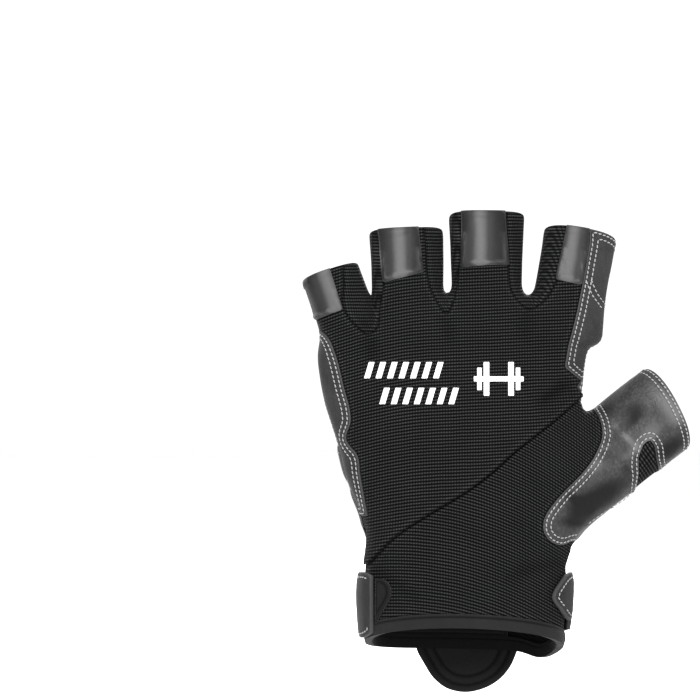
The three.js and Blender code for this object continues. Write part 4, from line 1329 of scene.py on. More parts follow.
class Shader(Tree):
    """A material under construction."""

    def __init__(self, name: str) -> None:
        """Starts an empty material with a principled surface."""
        self.material = bpy.data.materials.new(name)
        self.material.use_nodes = True
        super().__init__(self.material.node_tree)
        self.tree.nodes.clear()
        self.surface = self.tree.nodes.new("ShaderNodeBsdfPrincipled")
        out = self.tree.nodes.new("ShaderNodeOutputMaterial")
        self.tree.links.new(self.surface.outputs["BSDF"], out.inputs["Surface"])

    def fact(self, name: str) -> Wire:
        """A number that the mesh carries at each corner."""
        return self.node("ShaderNodeAttribute", {"attribute_name": name}, {}, "Fac")

    def place(self, size: tuple[float, float, float] = (1, 1, 1)) -> Wire:
        """Object coordinates in millimetres, stretched by a size along each axis."""
        at = self.node("ShaderNodeTexCoord", {}, {}, "Object")
        scale = tuple(1000 / s for s in size)
        return self.node("ShaderNodeVectorMath", {"operation": "MULTIPLY"}, {0: at, 1: scale})

    def noise(self, size: float, detail: float = 3, rough: float = 0.55,
              stretch: tuple[float, float, float] = (1, 1, 1)) -> Wire:
        """Noise from 0 to 1 with blotches of a size in millimetres."""
        return self.node("ShaderNodeTexNoise", {}, {
            "Vector": self.place(stretch), "Scale": 1 / size, "Detail": detail, "Roughness": rough})

    def pebble(self, size: float) -> Wire:
        """Distance to the nearest cell point, for leather grain."""
        return self.node("ShaderNodeTexVoronoi", {"feature": "F1"}, {
            "Vector": self.place(), "Scale": 1 / size}, "Distance")

    def blend(self, a: Value, b: Value, part: Value) -> Wire:
        """Mixes two colours."""
        first, second = (c if isinstance(c, Wire) else (*c, 1) for c in (a, b))
        return self.node("ShaderNodeMix", {"data_type": "RGBA"}, {0: part, 6: first, 7: second}, 2)

    def axes(self) -> tuple[Wire, Wire, Wire]:
        """Object coordinates in millimetres, one wire each."""
        made = self.node("ShaderNodeSeparateXYZ", {}, {0: self.place()}).socket.node
        return Wire(self, made.outputs[0]), Wire(self, made.outputs[1]), Wire(self, made.outputs[2])

    def inner(self) -> Wire:
        """One on the inner side of a wall and zero on the outer side."""
        return self.fact("inner").ramp(0.5, 0.98)

    def within(self, value: Wire, low: float, high: float, soft: float = 0.25) -> Wire:
        """One between two limits and zero outside them."""
        return value.ramp(low - soft, low + soft) * (1 - value.ramp(high - soft, high + soft))

    def bump(self, height: Wire, depth: float, strength: float = 1.0) -> Wire:
        """Normal from a height of 0 to 1 that stands for a depth in millimetres."""
        return self.node("ShaderNodeBump", {}, {
            "Strength": strength, "Distance": depth * MM, "Height": height})

    def finish(self, **values: Value) -> Material:
        """Sets the surface's sockets, written with _ for spaces, and returns the material."""
        for key, value in values.items():
            self.put(self.surface.inputs[key.replace("_", " ")], value)
        return self.material


Colour = tuple[float, float, float]


def grey(v: float, warm: float = 0.0) -> Colour:
    """A grey, a little warm or cool."""
    return (v * (1 + warm), v, v * (1 - warm))


@dataclass(frozen=True)
class RibbedKnit:
    """Black ribbed stretch fabric: ribs along one fact and fine wales along another."""

    name: str = "ribbed_knit"
    pitch: float = 1.17
    wale: float = 0.98
    low: float = 0.0002
    high: float = 0.0285
    printed: bool = False

    def make(self) -> Material:
        """Builds the material."""
        s = Shader(self.name)
        drift = s.noise(9.0, 2) * 0.5
        rib = (s.fact("rib") + drift).wave(self.pitch)
        wale = (s.fact("wale") + drift * 0.4).wave(self.wale)
        fuzz = s.noise(0.35, 4, 0.7)
        blotch = s.noise(14.0, 3)
        inner = s.inner()
        # The rib crests are painted lighter than the valleys, a painted highlight on the ribs; the fold
        # fact paints shade in the creases.
        crest = rib ** 1.7
        loop = crest * (0.2 + wale * 0.8) * (1 - s.fact("fold") * 0.6)
        tone = loop * (0.55 + fuzz * 0.9) * (0.72 + blotch * 0.56) * (1 - inner * 0.9)
        edge = s.fact("edge")
        # Painted shade in the seam's groove at the border, and a painted highlight on the ridge just
        # inside it.
        tone = tone * (1 - edge.bell(0, 0.4) * 0.6) * (1 + edge.bell(1.3, 0.5) * 0.45)
        height = crest * 0.7 + wale * crest * 0.3 + fuzz * 0.12 - edge.bell(0, 0.5) * 0.8
        base = s.blend(grey(self.low, -0.02), grey(self.high, -0.02), tone)
        base = s.blend(base, grey(0.002), inner)
        if self.printed:
            base = s.blend(base, grey(0.78), self.marks(s) * (0.72 + loop * 0.3) * (1 - inner))
        return s.finish(Base_Color=base, Roughness=0.9, Sheen_Weight=0.01, Sheen_Roughness=0.5,
                        Specular_IOR_Level=0.03, Normal=s.bump(height, 0.42))

    @staticmethod
    def marks(s: Shader) -> Wire:
        """Plain white marks on the back of the hand: two rows of slanted bars and a dumbbell.

        Args:
            s: The material under construction.

        Returns:
            One on the marks and zero elsewhere.
        """
        x, y, z = s.axes()
        lean = x - z * 0.3
        rows = s.within(z, 91.4, 97.2) * s.within(lean, -66.6, -37.9)
        rows = rows + s.within(z, 82.2, 88.0) * s.within(lean, -58.4, -29.7)
        bars = rows * lean.wave(4.1).ramp(0.42, 0.58)
        dx = abs(x - 9.9)
        dz = abs(z - 91.2)
        grip = s.within(dx, -1, 8.9) * s.within(dz, -1, 0.9)
        plates = s.within(dx, 3.4, 5.4) * s.within(dz, -1, 6.0)
        plates = plates + s.within(dx, 6.1, 7.7) * s.within(dz, -1, 4.0)
        return (bars + grip + plates).ramp(0.3, 0.7) * (1 - y.ramp(-2, 0))


@dataclass(frozen=True)
class Suede:
    """Dark grey suede with a short nap, stitched edges and a paler cut edge."""

    name: str = "suede"
    low: float = 0.0065
    high: float = 0.022
    rows: tuple[float, float] = (1.0, 2.8)
    printed: bool = False

    def make(self) -> Material:
        """Builds the material."""
        s = Shader(self.name)
        blotch = s.noise(11.0, 4, 0.6)
        nap = s.noise(0.55, 4, 0.75)
        speck = s.noise(0.32, 2, 0.6)
        streak = s.noise(1.6, 3, 0.6, (1, 1, 3))
        edge = s.fact("edge")
        tone = blotch * 0.5 + nap * 0.4 + streak * 0.25
        # Painted shade: darker in the folds' creases and towards the finger pads.
        shade = (1 - s.fact("pad") * 0.5) * (1 - s.fact("fold") * 0.75)
        base = s.blend(grey(self.low), grey(self.high), tone.ramp(0.25, 0.85) * shade)
        base = s.blend(base, grey(0.001), s.fact("pad") * 0.5)
        base = s.blend(base, grey(0.045), speck.ramp(0.56, 0.78) * 0.35 * shade)
        rim = edge.bell(0, 0.35) * (0.4 + nap * 0.5)
        base = s.blend(base, grey(0.07), rim * 0.5)
        inner = s.inner()
        base = s.blend(base, grey(0.002), inner)
        if self.printed:
            base = s.blend(base, grey(0.8), self.mark(s) * (1 - inner))
        pull = edge.bell(self.rows[0], 0.42) + edge.bell(self.rows[1], 0.42)
        pull = pull + s.fact("seam").bell(0, 0.5)
        height = 0.8 - pull * 0.55 + nap * 0.2 + blotch * 0.12
        return s.finish(Base_Color=base, Roughness=0.9, Sheen_Weight=0.04, Sheen_Roughness=0.45,
                        Specular_IOR_Level=0.08, Normal=s.bump(height, 0.5))

    @staticmethod
    def mark(s: Shader) -> Wire:
        """A plain white diamond ring with a bar through it, on the palm side of the strap.

        Args:
            s: The material under construction.

        Returns:
            One on the mark and zero elsewhere.
        """
        x, y, z = s.axes()
        dx = abs(x + 5.2)
        dz = abs(z - 7.2)
        ring = s.within(dx + dz, 5.0, 7.2)
        bar = s.within(dx, -1, 3.4) * s.within(dz, -1, 0.9)
        return (ring + bar).ramp(0.3, 0.7) * y.ramp(0, 2)


@dataclass(frozen=True)
class GlossLeather:
    """Black coated leather with a fine pebble, soft creases, a broad gloss, and painted highlights and
    painted shade from a fact.
    """

    name: str = "gloss_leather"
    base: float = 0.0145
    gloss: float = 0.36
    spark: float = 0.13
    rows: tuple[float, float] = (0.95, 2.7)
    crown: float = 0.0

    def make(self) -> Material:
        """Builds the material."""
        s = Shader(self.name)
        blotch = s.noise(13.0, 3)
        pebble = s.pebble(0.75)
        crease = s.noise(4.0, 5, 0.62, (1, 1, 2.2))
        crumple = s.noise(9.0, 3, 0.5)
        edge = s.fact("edge")
        painted_light = s.fact("painted_light") + (blotch - 0.5) * 0.5 + (crease - 0.5) * 0.4
        # Painted light: below 0 the colour darkens as painted shade and the surface grows rougher;
        # above 0 it lightens as a painted highlight.
        painted_shade_and_matt, painted_highlight = (painted_light * -1).ramp(0, 1), painted_light.ramp(0, 1)
        base = s.blend(grey(self.base), grey(self.base * 0.1), painted_shade_and_matt)
        base = s.blend(base, grey(self.base * 4.2), painted_highlight)
        base = s.blend(base, grey(0.03), edge.bell(0, 0.3) * 0.5)
        if self.rows:
            grain = s.noise(0.9, 4, 0.7, (1, 1, 1.5)).ramp(0.42, 0.7) * (1 - painted_shade_and_matt)
            base = s.blend(base, grey(self.base * 4.2), grain * 0.3)
        inner = s.inner()
        base = s.blend(base, grey(0.003), inner)
        height = 0.6 + pebble * (0.16 if self.rows else 0.05) + crease * (0.5 if self.rows else 0.1)
        if self.rows:
            pull = edge.bell(self.rows[0], 0.42) + edge.bell(self.rows[1], 0.42)
            height = height - pull * 0.5 + crumple * 1.6
        if self.crown:
            height = height + s.fact("crown") * self.crown
        rough = self.gloss + blotch * 0.14 + pebble * 0.05 + inner * 0.4 + painted_shade_and_matt * 0.25
        return s.finish(Base_Color=base, Roughness=rough, Specular_IOR_Level=self.spark,
                        Normal=s.bump(height, 0.42))


@dataclass(frozen=True)
class SoftBinding:
    """Black brushed binding and hook fabric."""

    name: str = "soft_binding"
    tone: float = 0.0062

    def make(self) -> Material:
        """Builds the material."""
        s = Shader(self.name)
        nap = s.noise(0.4, 4, 0.75)
        blotch = s.noise(7.0, 3)
        base = s.blend(grey(self.tone * 0.6), grey(self.tone * 2.2), nap * 0.6 + blotch * 0.4)
        pull = s.fact("seam").bell(0, 0.45)
        # Painted shade in the grooves that the seam lines press in.
        base = s.blend(base, grey(self.tone * 0.15), pull * 0.8)
        base = s.blend(base, grey(self.tone * 0.2), s.inner() * 0.8)
        return s.finish(Base_Color=base, Roughness=0.95, Sheen_Weight=0.08, Sheen_Roughness=0.4,
                        Specular_IOR_Level=0.06, Normal=s.bump(nap * 0.5 + 0.5 - pull * 0.5, 0.35))


@dataclass(frozen=True)
class Silicone:
    """Dark grip rubber with a satin face, lighter edges and a painted highlight along its upper side.
    """

    name: str = "grip_silicone"
    tone: float = 0.0025
    gloss: float = 0.45
    upper: float = 0.24
    outline: float = 0.0
    spark: float = 0.12

    def make(self) -> Material:
        """Builds the material."""
        s = Shader(self.name)
        blotch = s.noise(3.0, 3)
        fine = s.noise(0.5, 3)
        base = s.blend(grey(self.tone * 0.6), grey(self.tone * 1.4), blotch * 0.7 + fine * 0.3)
        # Painted highlight on the upper side of each bar, broken up by noise; upper is its grey.
        if self.upper:
            highlight_patchiness = s.noise(5.0, 3, 0.6).ramp(0.3, 0.7) * 0.8 + 0.2
            painted_top_highlight = s.fact("up").ramp(-0.05, 0.5) * highlight_patchiness * (0.6 + fine * 0.6)
            base = s.blend(base, grey(self.upper), painted_top_highlight)
        if self.outline:
            base = s.blend(base, grey(self.outline), s.fact("rim").bell(0.9, 0.14))
        return s.finish(Base_Color=base, Roughness=self.gloss + fine * 0.15,
                        Specular_IOR_Level=self.spark, Normal=s.bump(fine * 0.6 + blotch * 0.4, 0.12))


@dataclass(frozen=True)
class Thread:
    """White sewing thread with a twist along each stitch."""

    name: str = "white_thread"
    tone: float = 0.2

    def make(self) -> Material:
        """Builds the material."""
        s = Shader(self.name)
        fibre = s.noise(0.18, 3)
        base = s.blend(grey(self.tone * 0.7), grey(self.tone, 0.01), fibre)
        return s.finish(Base_Color=base, Roughness=0.7, Sheen_Weight=0.1, Specular_IOR_Level=0.2,
                        Normal=s.bump(fibre, 0.06))


@dataclass(frozen=True)
class PlainPaint:
    """Matt pale paint for the studio floor."""

    name: str = "studio_floor"
    tone: float = 0.9

    def make(self) -> Material:
        """Builds the material."""
        s = Shader(self.name)
        base = s.blend(grey(self.tone * 0.98), grey(self.tone), s.noise(60.0, 2))
        return s.finish(Base_Color=base, Roughness=0.95, Specular_IOR_Level=0.1)


STITCH_INPUTS = ("Length", "Width", "Height")


@dataclass
class StitchRun:
    """Stitches gathered along lines: where they lie and how they turn."""

    pitch: float = 1.7
    slant: float = 7.0
    sway: float = 3.0
    shortest: int = 6
    spots: list[Array] = field(default_factory=list)
    turns: list[Array] = field(default_factory=list)

    def follow(self, points: Array, normals: Array, lift: float, keep: Field | None = None) -> None:
        """Lays stitches along a line.

        Args:
            points: The line.
            normals: The surface normals along it.
            lift: How far the thread's middle stands over the line.
            keep: Where stitches are wanted, positive inside.
        """
        if len(points) < self.shortest:
            return
        for _ in range(2):
            inner = (points[:-2] + 2 * points[1:-1] + points[2:]) / 4
            points = np.concatenate([points[:1], inner, points[-1:]])
        run = run_length(points)
        count = int(run[-1] / self.pitch)
        if count < 2:
            return
        at = (np.arange(count) + 0.5) * run[-1] / count
        spot = on_line(points, run, at)
        along = unit(on_line(points, run, at + 0.5) - on_line(points, run, at - 0.5))
        up = unit(on_line(normals, run, at))
        if keep is not None:
            mask = keep(spot) > 0
            spot, up, along = spot[mask], up[mask], along[mask]
        turns = []
        for n, (way, out) in enumerate(zip(along, up)):
            x = Vector(way)
            y = Vector(out).cross(x).normalized()
            basis = Matrix((x, y, x.cross(y))).transposed()
            angle = math.radians(self.slant + self.sway * math.sin(n * 2.4))
            turns.append((basis @ Euler((0, 0, angle)).to_matrix()).to_euler())
        if turns:
            self.spots.append(spot + up * lift)
            self.turns.append(np.array(turns))

    def build(self, name: str, material: Material,
              size: tuple[float, float, float]) -> Object:
        """Makes the stitches with Geometry Nodes and turns them into one plain mesh.

        Args:
            name: The object's name.
            material: The thread.
            size: Length, width and height of one stitch, in millimetres.

        Returns:
            The new object.
        """
        spots = np.concatenate(self.spots)
        turns = np.concatenate(self.turns)
        mesh = bpy.data.meshes.new(f"{name}_places")
        mesh.from_pydata((spots * MM).tolist(), [], [])
        turn = mesh.attributes.new("turn", "FLOAT_VECTOR", "POINT")
        turn.data.foreach_set("vector", turns.ravel())
        host = add_object(f"{name}_places", mesh)
        tree = stitch_tree(material)
        modifier = host.modifiers.new("stitches", "NODES")
        modifier.node_group = tree
        for label, value in zip(STITCH_INPUTS, size):
            socket = next(i for i in tree.interface.items_tree if i.name == label)
            modifier[socket.identifier] = value * MM
        ready = host.evaluated_get(bpy.context.evaluated_depsgraph_get())
        plain = bpy.data.meshes.new_from_object(ready)
        plain.name = name
        bpy.data.objects.remove(host)
        return add_object(name, plain)


def stitch_tree(material: Material) -> bpy.types.NodeTree:
    """Geometry Nodes tree that puts one thread stitch on each point.

    Args:
        material: The thread.

    Returns:
        The tree, with inputs for a stitch's length, width and height.
    """
    group = bpy.data.node_groups.new("thread_stitches", "GeometryNodeTree")
    group.interface.new_socket("Geometry", in_out="INPUT", socket_type="NodeSocketGeometry")
    for label in STITCH_INPUTS:
        group.interface.new_socket(label, in_out="INPUT", socket_type="NodeSocketFloat")
    group.interface.new_socket("Geometry", in_out="OUTPUT", socket_type="NodeSocketGeometry")
    tree = Tree(group)
    given = group.nodes.new("NodeGroupInput").outputs
    sizes = {axis: Wire(tree, given[label]) for axis, label in zip("XYZ", STITCH_INPUTS)}
    thread = tree.node("GeometryNodeMeshUVSphere", {}, {"Segments": 6, "Rings": 5, "Radius": 0.5})
    shape = tree.node("GeometryNodeTransform", {}, {
        "Geometry": thread, "Scale": tree.node("ShaderNodeCombineXYZ", {}, sizes)})
    soft = tree.node("GeometryNodeSetShadeSmooth", {}, {"Geometry": shape})
    turn = tree.node("GeometryNodeInputNamedAttribute", {"data_type": "FLOAT_VECTOR"},
                     {"Name": "turn"}, "Attribute")
    lay = tree.node("GeometryNodeInstanceOnPoints", {}, {
        "Points": Wire(tree, given["Geometry"]), "Instance": soft,
        "Rotation": tree.node("FunctionNodeEulerToRotation", {}, {"Euler": turn})})
    real = tree.node("GeometryNodeRealizeInstances", {}, {"Geometry": lay})
    sewn = tree.node("GeometryNodeSetMaterial", {}, {"Geometry": real, "Material": material})
    out = group.nodes.new("NodeGroupOutput")
    tree.put(out.inputs["Geometry"], sewn)
    return group


class Finishes:
    """All the materials of the glove."""

    def __init__(self) -> None:
        """Makes each material once."""
        self.knit = RibbedKnit().make()
        self.printed_knit = RibbedKnit("printed_knit", printed=True).make()
        self.suede = Suede().make()
        self.strap = Suede("strap_suede", 0.006, 0.017, rows=(FAR, FAR), printed=True).make()
        self.leather = GlossLeather().make()
        self.patch = GlossLeather("patch_leather", 0.011, 0.42, 0.14, rows=(), crown=5.0).make()
        self.facing = GlossLeather("facing_leather", 0.006, 0.45, 0.15, rows=()).make()
        self.binding = SoftBinding().make()
        self.dark_fabric = SoftBinding("dark_fabric", 0.0036).make()
        self.silicone = Silicone().make()
        self.inlay = Silicone("inlay_silicone", 0.0015, 0.8, 0, outline=0.02, spark=0.03).make()
        # A lit copy of the inlay rubber, lighter and glossier: a painted highlight for the ring
        # finger's inlay.
        self.painted_highlight_inlay = Silicone("painted_highlight_inlay", 0.05, 0.36, 0, outline=0.03, spark=0.2).make()
        self.thread = Thread().make()


def dress(obj: Object, slot: str, *nodes: str) -> Object:
    """Makes a piece ride on the glove and stand for its solids.

    Args:
        obj: The piece.
        slot: Not used.
        nodes: The CAD nodes that it stands for.

    Returns:
        The same piece.
    """
    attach(obj, "root")
    if nodes:
        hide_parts(*nodes)
    LOG.info("%s: %d faces", obj.name, len(obj.data.polygons))
    return obj


@dataclass
class Shell:
    """The glove's walls: every panel that the skin is cut into."""

    skin: Skin
    finishes: Finishes
    cell: float = 1.15
    suede_lift: float = 0.55
    leather_lift: float = 0.45
    suede_wall: float = 2.2
    leather_wall: float = 1.6
    fabric_wall: float = 1.5
    lap_lift: float = 0.95
    binding_seam: float = -0.2
    cuts: dict[Panel, Cut] = field(default_factory=dict)

    def build(self) -> None:
        """Meshes, cuts and dresses every panel."""
        form, skin = self.skin.form, self.skin
        skin.mesh(self.cell)
        skin.split(Panel.WHOLE, Panel.HAND, Panel.WASTE, form.openings)
        skin.split(Panel.HAND, Panel.BINDING, Panel.HAND, form.binding)
        skin.split(Panel.HAND, Panel.THUMB, Panel.HAND, form.two_sided(THUMB_BACK, THUMB_PALM))
        skin.split(Panel.THUMB, Panel.GUSSET, Panel.THUMB, form.two_sided(GUSSET_BACK, GUSSET_PALM))
        for name, (back, palm) in WEBS.items():
            skin.split(Panel.HAND, Panel[name.upper()], Panel.HAND, form.two_sided(back, palm))
        skin.split(Panel.HAND, Panel.PALM, Panel.BACK, form.leather)
        skin.split(Panel.BACK, Panel.BACK_UPPER, Panel.BACK_LOWER, form.overlap)
        skin.crease()
        LOG.info("skin: %d faces", len(skin.faces))
        self.palm()
        self.back()
        self.thumb()
        self.webs()
        self.binding()

    def take(self, panel: Panel, seam: float = 0.05) -> Cut:
        """Picks a panel, draws it in from its border and gives it its facts.

        Args:
            panel: The panel.
            seam: How far its border is drawn in, in millimetres.

        Returns:
            The piece.
        """
        cut = self.skin.pick(panel)
        edges = border_edges(cut.faces)
        inward = np.zeros_like(cut.points)
        along = unit(cut.points[edges[:, 1]] - cut.points[edges[:, 0]])
        for n in range(2):
            np.add.at(inward, edges[:, n], np.cross(cut.normals[edges[:, n]], along))
        cut.points = cut.points + unit(inward) * (np.linalg.norm(inward, axis=1) > 0)[:, None] * seam
        cut.facts["edge"] = cut.border_distance()
        cut.blank("seam")
        # Crease depth, which the suede and the knit paint as shade.
        cut.facts["fold"] = np.clip(-self.skin.form.creases(cut.points), 0, 1)
        self.cuts[panel] = cut
        return cut

    def knit_facts(self, cut: Cut, rib: Array) -> None:
        """Sets the rib and wale positions of a fabric panel.

        Args:
            cut: The panel.
            rib: The position across the ribs at each corner.
        """
        x, y, _ = cut.points.T
        cut.facts["rib"] = rib
        cut.facts["wale"] = x + np.where(np.abs(cut.normals[:, 1]) < 0.4, y, 0)

    def palm(self) -> None:
        """The suede palm with its wraps."""
        cut = self.take(Panel.PALM)
        x, z = cut.flat
        on_palm = self.skin.form.side(cut.points) > 0
        cut.facts["seam"] = np.where(on_palm, np.abs(line_field(PALM_SEAM, x, z)), FAR)
        cut.facts["pad"] = np.where(on_palm, smooth(104, 114, z), 0.0)
        lift = self.suede_lift - 0.25 * decay(cut.facts["edge"], 0.5)
        obj = thicken("palm_panel_suede", cut, -self.suede_wall, lift, self.finishes.suede)
        dress(obj, "suede", "palm_panel")

    def back(self) -> None:
        """The two ribbed panels of the back, the upper one lapped over the lower one."""
        form = self.skin.form
        upper = self.take(Panel.BACK_UPPER)
        x, _, z = upper.points.T
        self.knit_facts(upper, z - 0.05 * x + 0.004 * np.minimum(x + 12, 0) ** 2)
        lap = np.abs(form.overlap(upper.points))
        lift = self.lap_lift * hump(lap, 5.0) - 0.15 * decay(upper.facts["edge"], 0.6)
        obj = thicken("back_upper_knit", upper, -self.fabric_wall, lift, self.finishes.printed_knit)
        dress(obj, "ribbed_fabric", "back_upper_panel")
        lower = self.take(Panel.BACK_LOWER)
        x, _, z = lower.points.T
        self.knit_facts(lower, z + 0.28 * x + 0.0055 * x**2)
        lap = np.abs(form.overlap(lower.points))
        lift = -0.6 * hump(lap, 1.8) * (form.side(lower.points) < 0)
        obj = thicken("back_lower_knit", lower, -self.fabric_wall, lift, self.finishes.knit)
        dress(obj, "ribbed_fabric", "back_lower_panel")

    def thumb(self) -> None:
        """The glossy thumb and the ribbed gusset in its lower edge."""
        cut = self.take(Panel.THUMB)
        # Painted light on the thumb: the spot table plus painted highlights on the fold ridges and
        # painted shade in the creases.
        folds = self.skin.form.creases(cut.points)
        cut.facts["painted_light"] = np.clip(self.skin.form.painted_light(cut.points) + 0.7 * folds, -1.2, 1.2)
        lift = self.leather_lift - 0.25 * decay(cut.facts["edge"], 0.5)
        obj = thicken("thumb_leather", cut, -self.leather_wall, lift, self.finishes.leather)
        dress(obj, "glossy_leather", "thumb_shell")
        gusset = self.take(Panel.GUSSET)
        x, y, z = gusset.points.T
        gusset.facts["rib"] = self.skin.form.thumb_place(x, z)[0]
        gusset.facts["wale"] = y
        obj = thicken("thumb_gusset_knit", gusset, -self.fabric_wall, 0.0, self.finishes.knit)
        dress(obj, "ribbed_fabric", "thumb_gusset")

    def webs(self) -> None:
        """The ribbed fourchettes between the fingers."""
        for name in WEBS:
            cut = self.take(Panel[name.upper()])
            x, y, z = cut.points.T
            self.knit_facts(cut, z)
            cut.facts["wale"] = x + y
            lift = -0.1 * decay(cut.facts["edge"], 0.6)
            obj = thicken(f"{name}_knit", cut, -self.fabric_wall, lift, self.finishes.knit)
            dress(obj, "ribbed_fabric", name)

    def binding(self) -> None:
        """The soft binding round the wrist opening."""
        cut = self.take(Panel.BINDING, self.binding_seam)
        height = -self.skin.form.binding(cut.points)
        cut.facts["seam"] = height - 0.9
        belly = np.clip(height / BINDING_HEIGHT, 0, 1)
        lift = 0.15 + 0.75 * np.sin(np.pi * np.clip(belly, 0.04, 0.96)) ** 0.6
        obj = thicken("cuff_binding_tape", cut, -self.suede_wall, lift, self.finishes.binding)
        dress(obj, "soft_binding", "cuff_binding")


@dataclass
class Overlays:
    """Pieces that lie on the walls: patches, heel pad, strap, hook tab, inlays and bars."""

    skin: Skin
    finishes: Finishes
    patch_in: float = 0.2
    patch_out: float = 1.15
    facing_in: float = -1.95
    facing_out: float = -1.52
    facing_depth: float = 9.0
    heel_in: float = 0.5
    heel_out: float = 1.05
    heel_rise: float = 0.9
    strap_in: float = 0.75
    strap_out: float = 2.9
    ray_start: float = 60.0
    tongue_top: float = -6.0
    tree: BVHTree | None = None
    cuts: dict[str, Cut] = field(default_factory=dict)

    def build(self) -> None:
        """Makes and dresses every overlay."""
        kept = self.skin.faces[self.skin.labels != Panel.WASTE.value]
        self.tree = BVHTree.FromPolygons(self.skin.points.tolist(), kept.tolist())
        self.patches()
        self.heel()
        self.strap()
        self.inlays()
        self.bars()
        self.tongue()

    def landing(self, x: float, z: float, palm: bool) -> tuple[Array, Array]:
        """Where a line along Y meets the palm or the back, and the normal there.

        Args:
            x: Where the line stands across.
            z: Where it stands up the hand.
            palm: Whether it comes from the palm side.

        Returns:
            The place and the normal.
        """
        sign = 1.0 if palm else -1.0
        start = Vector((x, self.ray_start * sign, z))
        spot, normal, _, _ = self.tree.ray_cast(start, Vector((0, -sign, 0)))
        if spot is None:
            return np.array([x, 0, z]), np.array([0, sign, 0])
        out = np.array(normal)
        return np.array(spot), out if out[1] * sign > 0 else -out

    def patches(self) -> None:
        """The leather patches on the finger backs, with their facings inside the finger ends."""
        form = self.skin.form
        for finger, (name, points) in zip(FINGERS, PATCHES.items()):
            cut = self.skin.overlay(form.one_side(points, palm=False))
            x, z = cut.flat
            along, across, _ = finger.place(x, z)
            edge = cut.border_distance()
            top = form.openings(cut.points)
            low = outline_field(points, x, z)
            below = top < -8
            cut.facts["edge"] = edge
            cut.facts["crown"] = 1 - (across / 12.0) ** 2
            # Painted light on the patch: a painted highlight band left of the finger's middle, painted
            # shade towards its sides, and a painted highlight line along the rolled lower edge.
            painted_roll_highlight = hump(low + 1.2, 0.5) * below
            cut.facts["painted_light"] = 1.5 * hump(across + 2.5, 3.2) - 0.6 + painted_roll_highlight
            lift = self.patch_out - 0.45 * decay(edge, 0.6) + np.where(top > -2.2, 0.35, 0.0)
            lift = lift + 0.4 * (hump(low + 0.9, 0.8) * below)
            obj = thicken(f"finger_patch_{name}_leather", cut, self.patch_in, lift, self.finishes.patch)
            dress(obj, "glossy_leather", f"finger_patch_{name}")

            def facing(p: Array) -> Array:
                """Field of the strip of leather that is turned in behind the patch."""
                _, off, _ = finger.place(p[:, 0], p[:, 2])
                ends = np.maximum(form.side(p), -form.openings(p) - self.facing_depth)
                return np.maximum(np.abs(off) - 9.5, ends)

            cut = self.skin.overlay(facing)
            cut.blank("edge")
            cut.blank("crown", 0.0)
            obj = thicken(f"finger_facing_{name}", cut, self.facing_in, self.facing_out,
                          self.finishes.facing)
            dress(obj, "glossy_leather")

    def heel(self) -> None:
        """The padded suede panel on the heel of the hand."""
        cut = self.skin.overlay(self.skin.form.one_side(HEEL_PANEL, palm=True))
        edge = cut.border_distance()
        x, z = cut.flat
        inner = np.abs(line_field(HEEL_INNER_SEAM, x, z))
        cut.facts["edge"] = edge
        cut.facts["seam"] = inner
        crown = 1.0 - decay(edge, 3.0) - 0.8 * hump(inner, 2.2)
        lift = self.heel_out + self.heel_rise * crown - 0.2 * decay(edge, 0.5)
        self.cuts["heel"] = cut.raised(lift)
        obj = thicken("heel_pad_suede", cut, self.heel_in, lift, self.finishes.suede)
        dress(obj, "suede", "heel_pad")

    def strap(self) -> None:
        """The wrist strap and the hook tab at its end."""
        cut = self.skin.overlay(self.skin.form.strap)
        edge = cut.border_distance()
        cut.facts["edge"] = edge
        cut.blank("seam")
        lift = self.strap_out - 0.5 * decay(edge, 0.7) - 0.25 * hump(edge - 1.6, 0.7)
        self.cuts["strap"] = cut.raised(lift)
        obj = thicken("wrist_strap_suede", cut, self.strap_in, lift, self.finishes.strap)
        dress(obj, "glossy_leather", "wrist_strap")
        tab = self.skin.overlay(self.skin.form.one_side(HOOK_TAB, palm=False), 1)
        edge = tab.border_distance()
        tab.facts["seam"] = edge - 1.2
        lift = 1.6 - 0.5 * decay(edge, 0.6)
        obj = thicken("strap_hook_tab_fabric", tab, 0.2, lift, self.finishes.dark_fabric)
        dress(obj, "soft_binding", "strap_hook_tab")

    def swept(self, name: str, places: Array, widths: Array, height: float,
              material: Material) -> Object:
        """A low rounded bar that follows the palm.

        Args:
            name: The object's name.
            places: Rows of x and z along the bar.
            widths: The width at each row.
            height: How far the crest stands over the skin.
            material: The finish.

        Returns:
            The new object.
        """
        section = [(-0.5, 0.25), (0.5, 0.25), (0.5, 0.62), (0.42, 0.86), (0.22, 1.0), (0, 1.03),
                   (-0.22, 1.0), (-0.42, 0.86), (-0.5, 0.62)]
        rows = [self.landing(x, z, True) for x, z in places]
        points = []
        up, rim = [], []
        for r, (spot, out) in enumerate(rows):
            ahead = rows[min(r + 1, len(rows) - 1)][0] - rows[max(r - 1, 0)][0]
            across = unit(np.cross(unit(ahead), out))
            tall = min(1.0, 0.35 + 0.65 * widths[r] / widths.max())
            for s, h in section:
                level = 0.3 if h < 0.3 else 0.55 + (height - 0.55) * tall * (h - 0.3) / 0.73
                points.append(spot + across * s * widths[r] + out * level)
                # Which side of the crest faces up, where the silicone paints its highlight.
                up.append(2.2 * s * np.sign(across[2]) - 0.1)
                rim.append(max(2 * abs(s), 1 - 0.4 * min(r, len(rows) - 1 - r)))
        sides = len(section)
        faces: list[list[int]] = []
        for r in range(len(rows) - 1):
            for s in range(sides):
                a, b = r * sides + s, r * sides + (s + 1) % sides
                faces.append([a, b, b + sides, a + sides])
        last = (len(rows) - 1) * sides
        faces.append(list(range(sides))[::-1])
        faces.append(list(range(last, last + sides)))
        facts = {"up": np.array(up), "rim": np.array(rim)}
        obj = to_object(name, np.array(points), faces, facts, material)
        face_outwards(obj)
        return obj

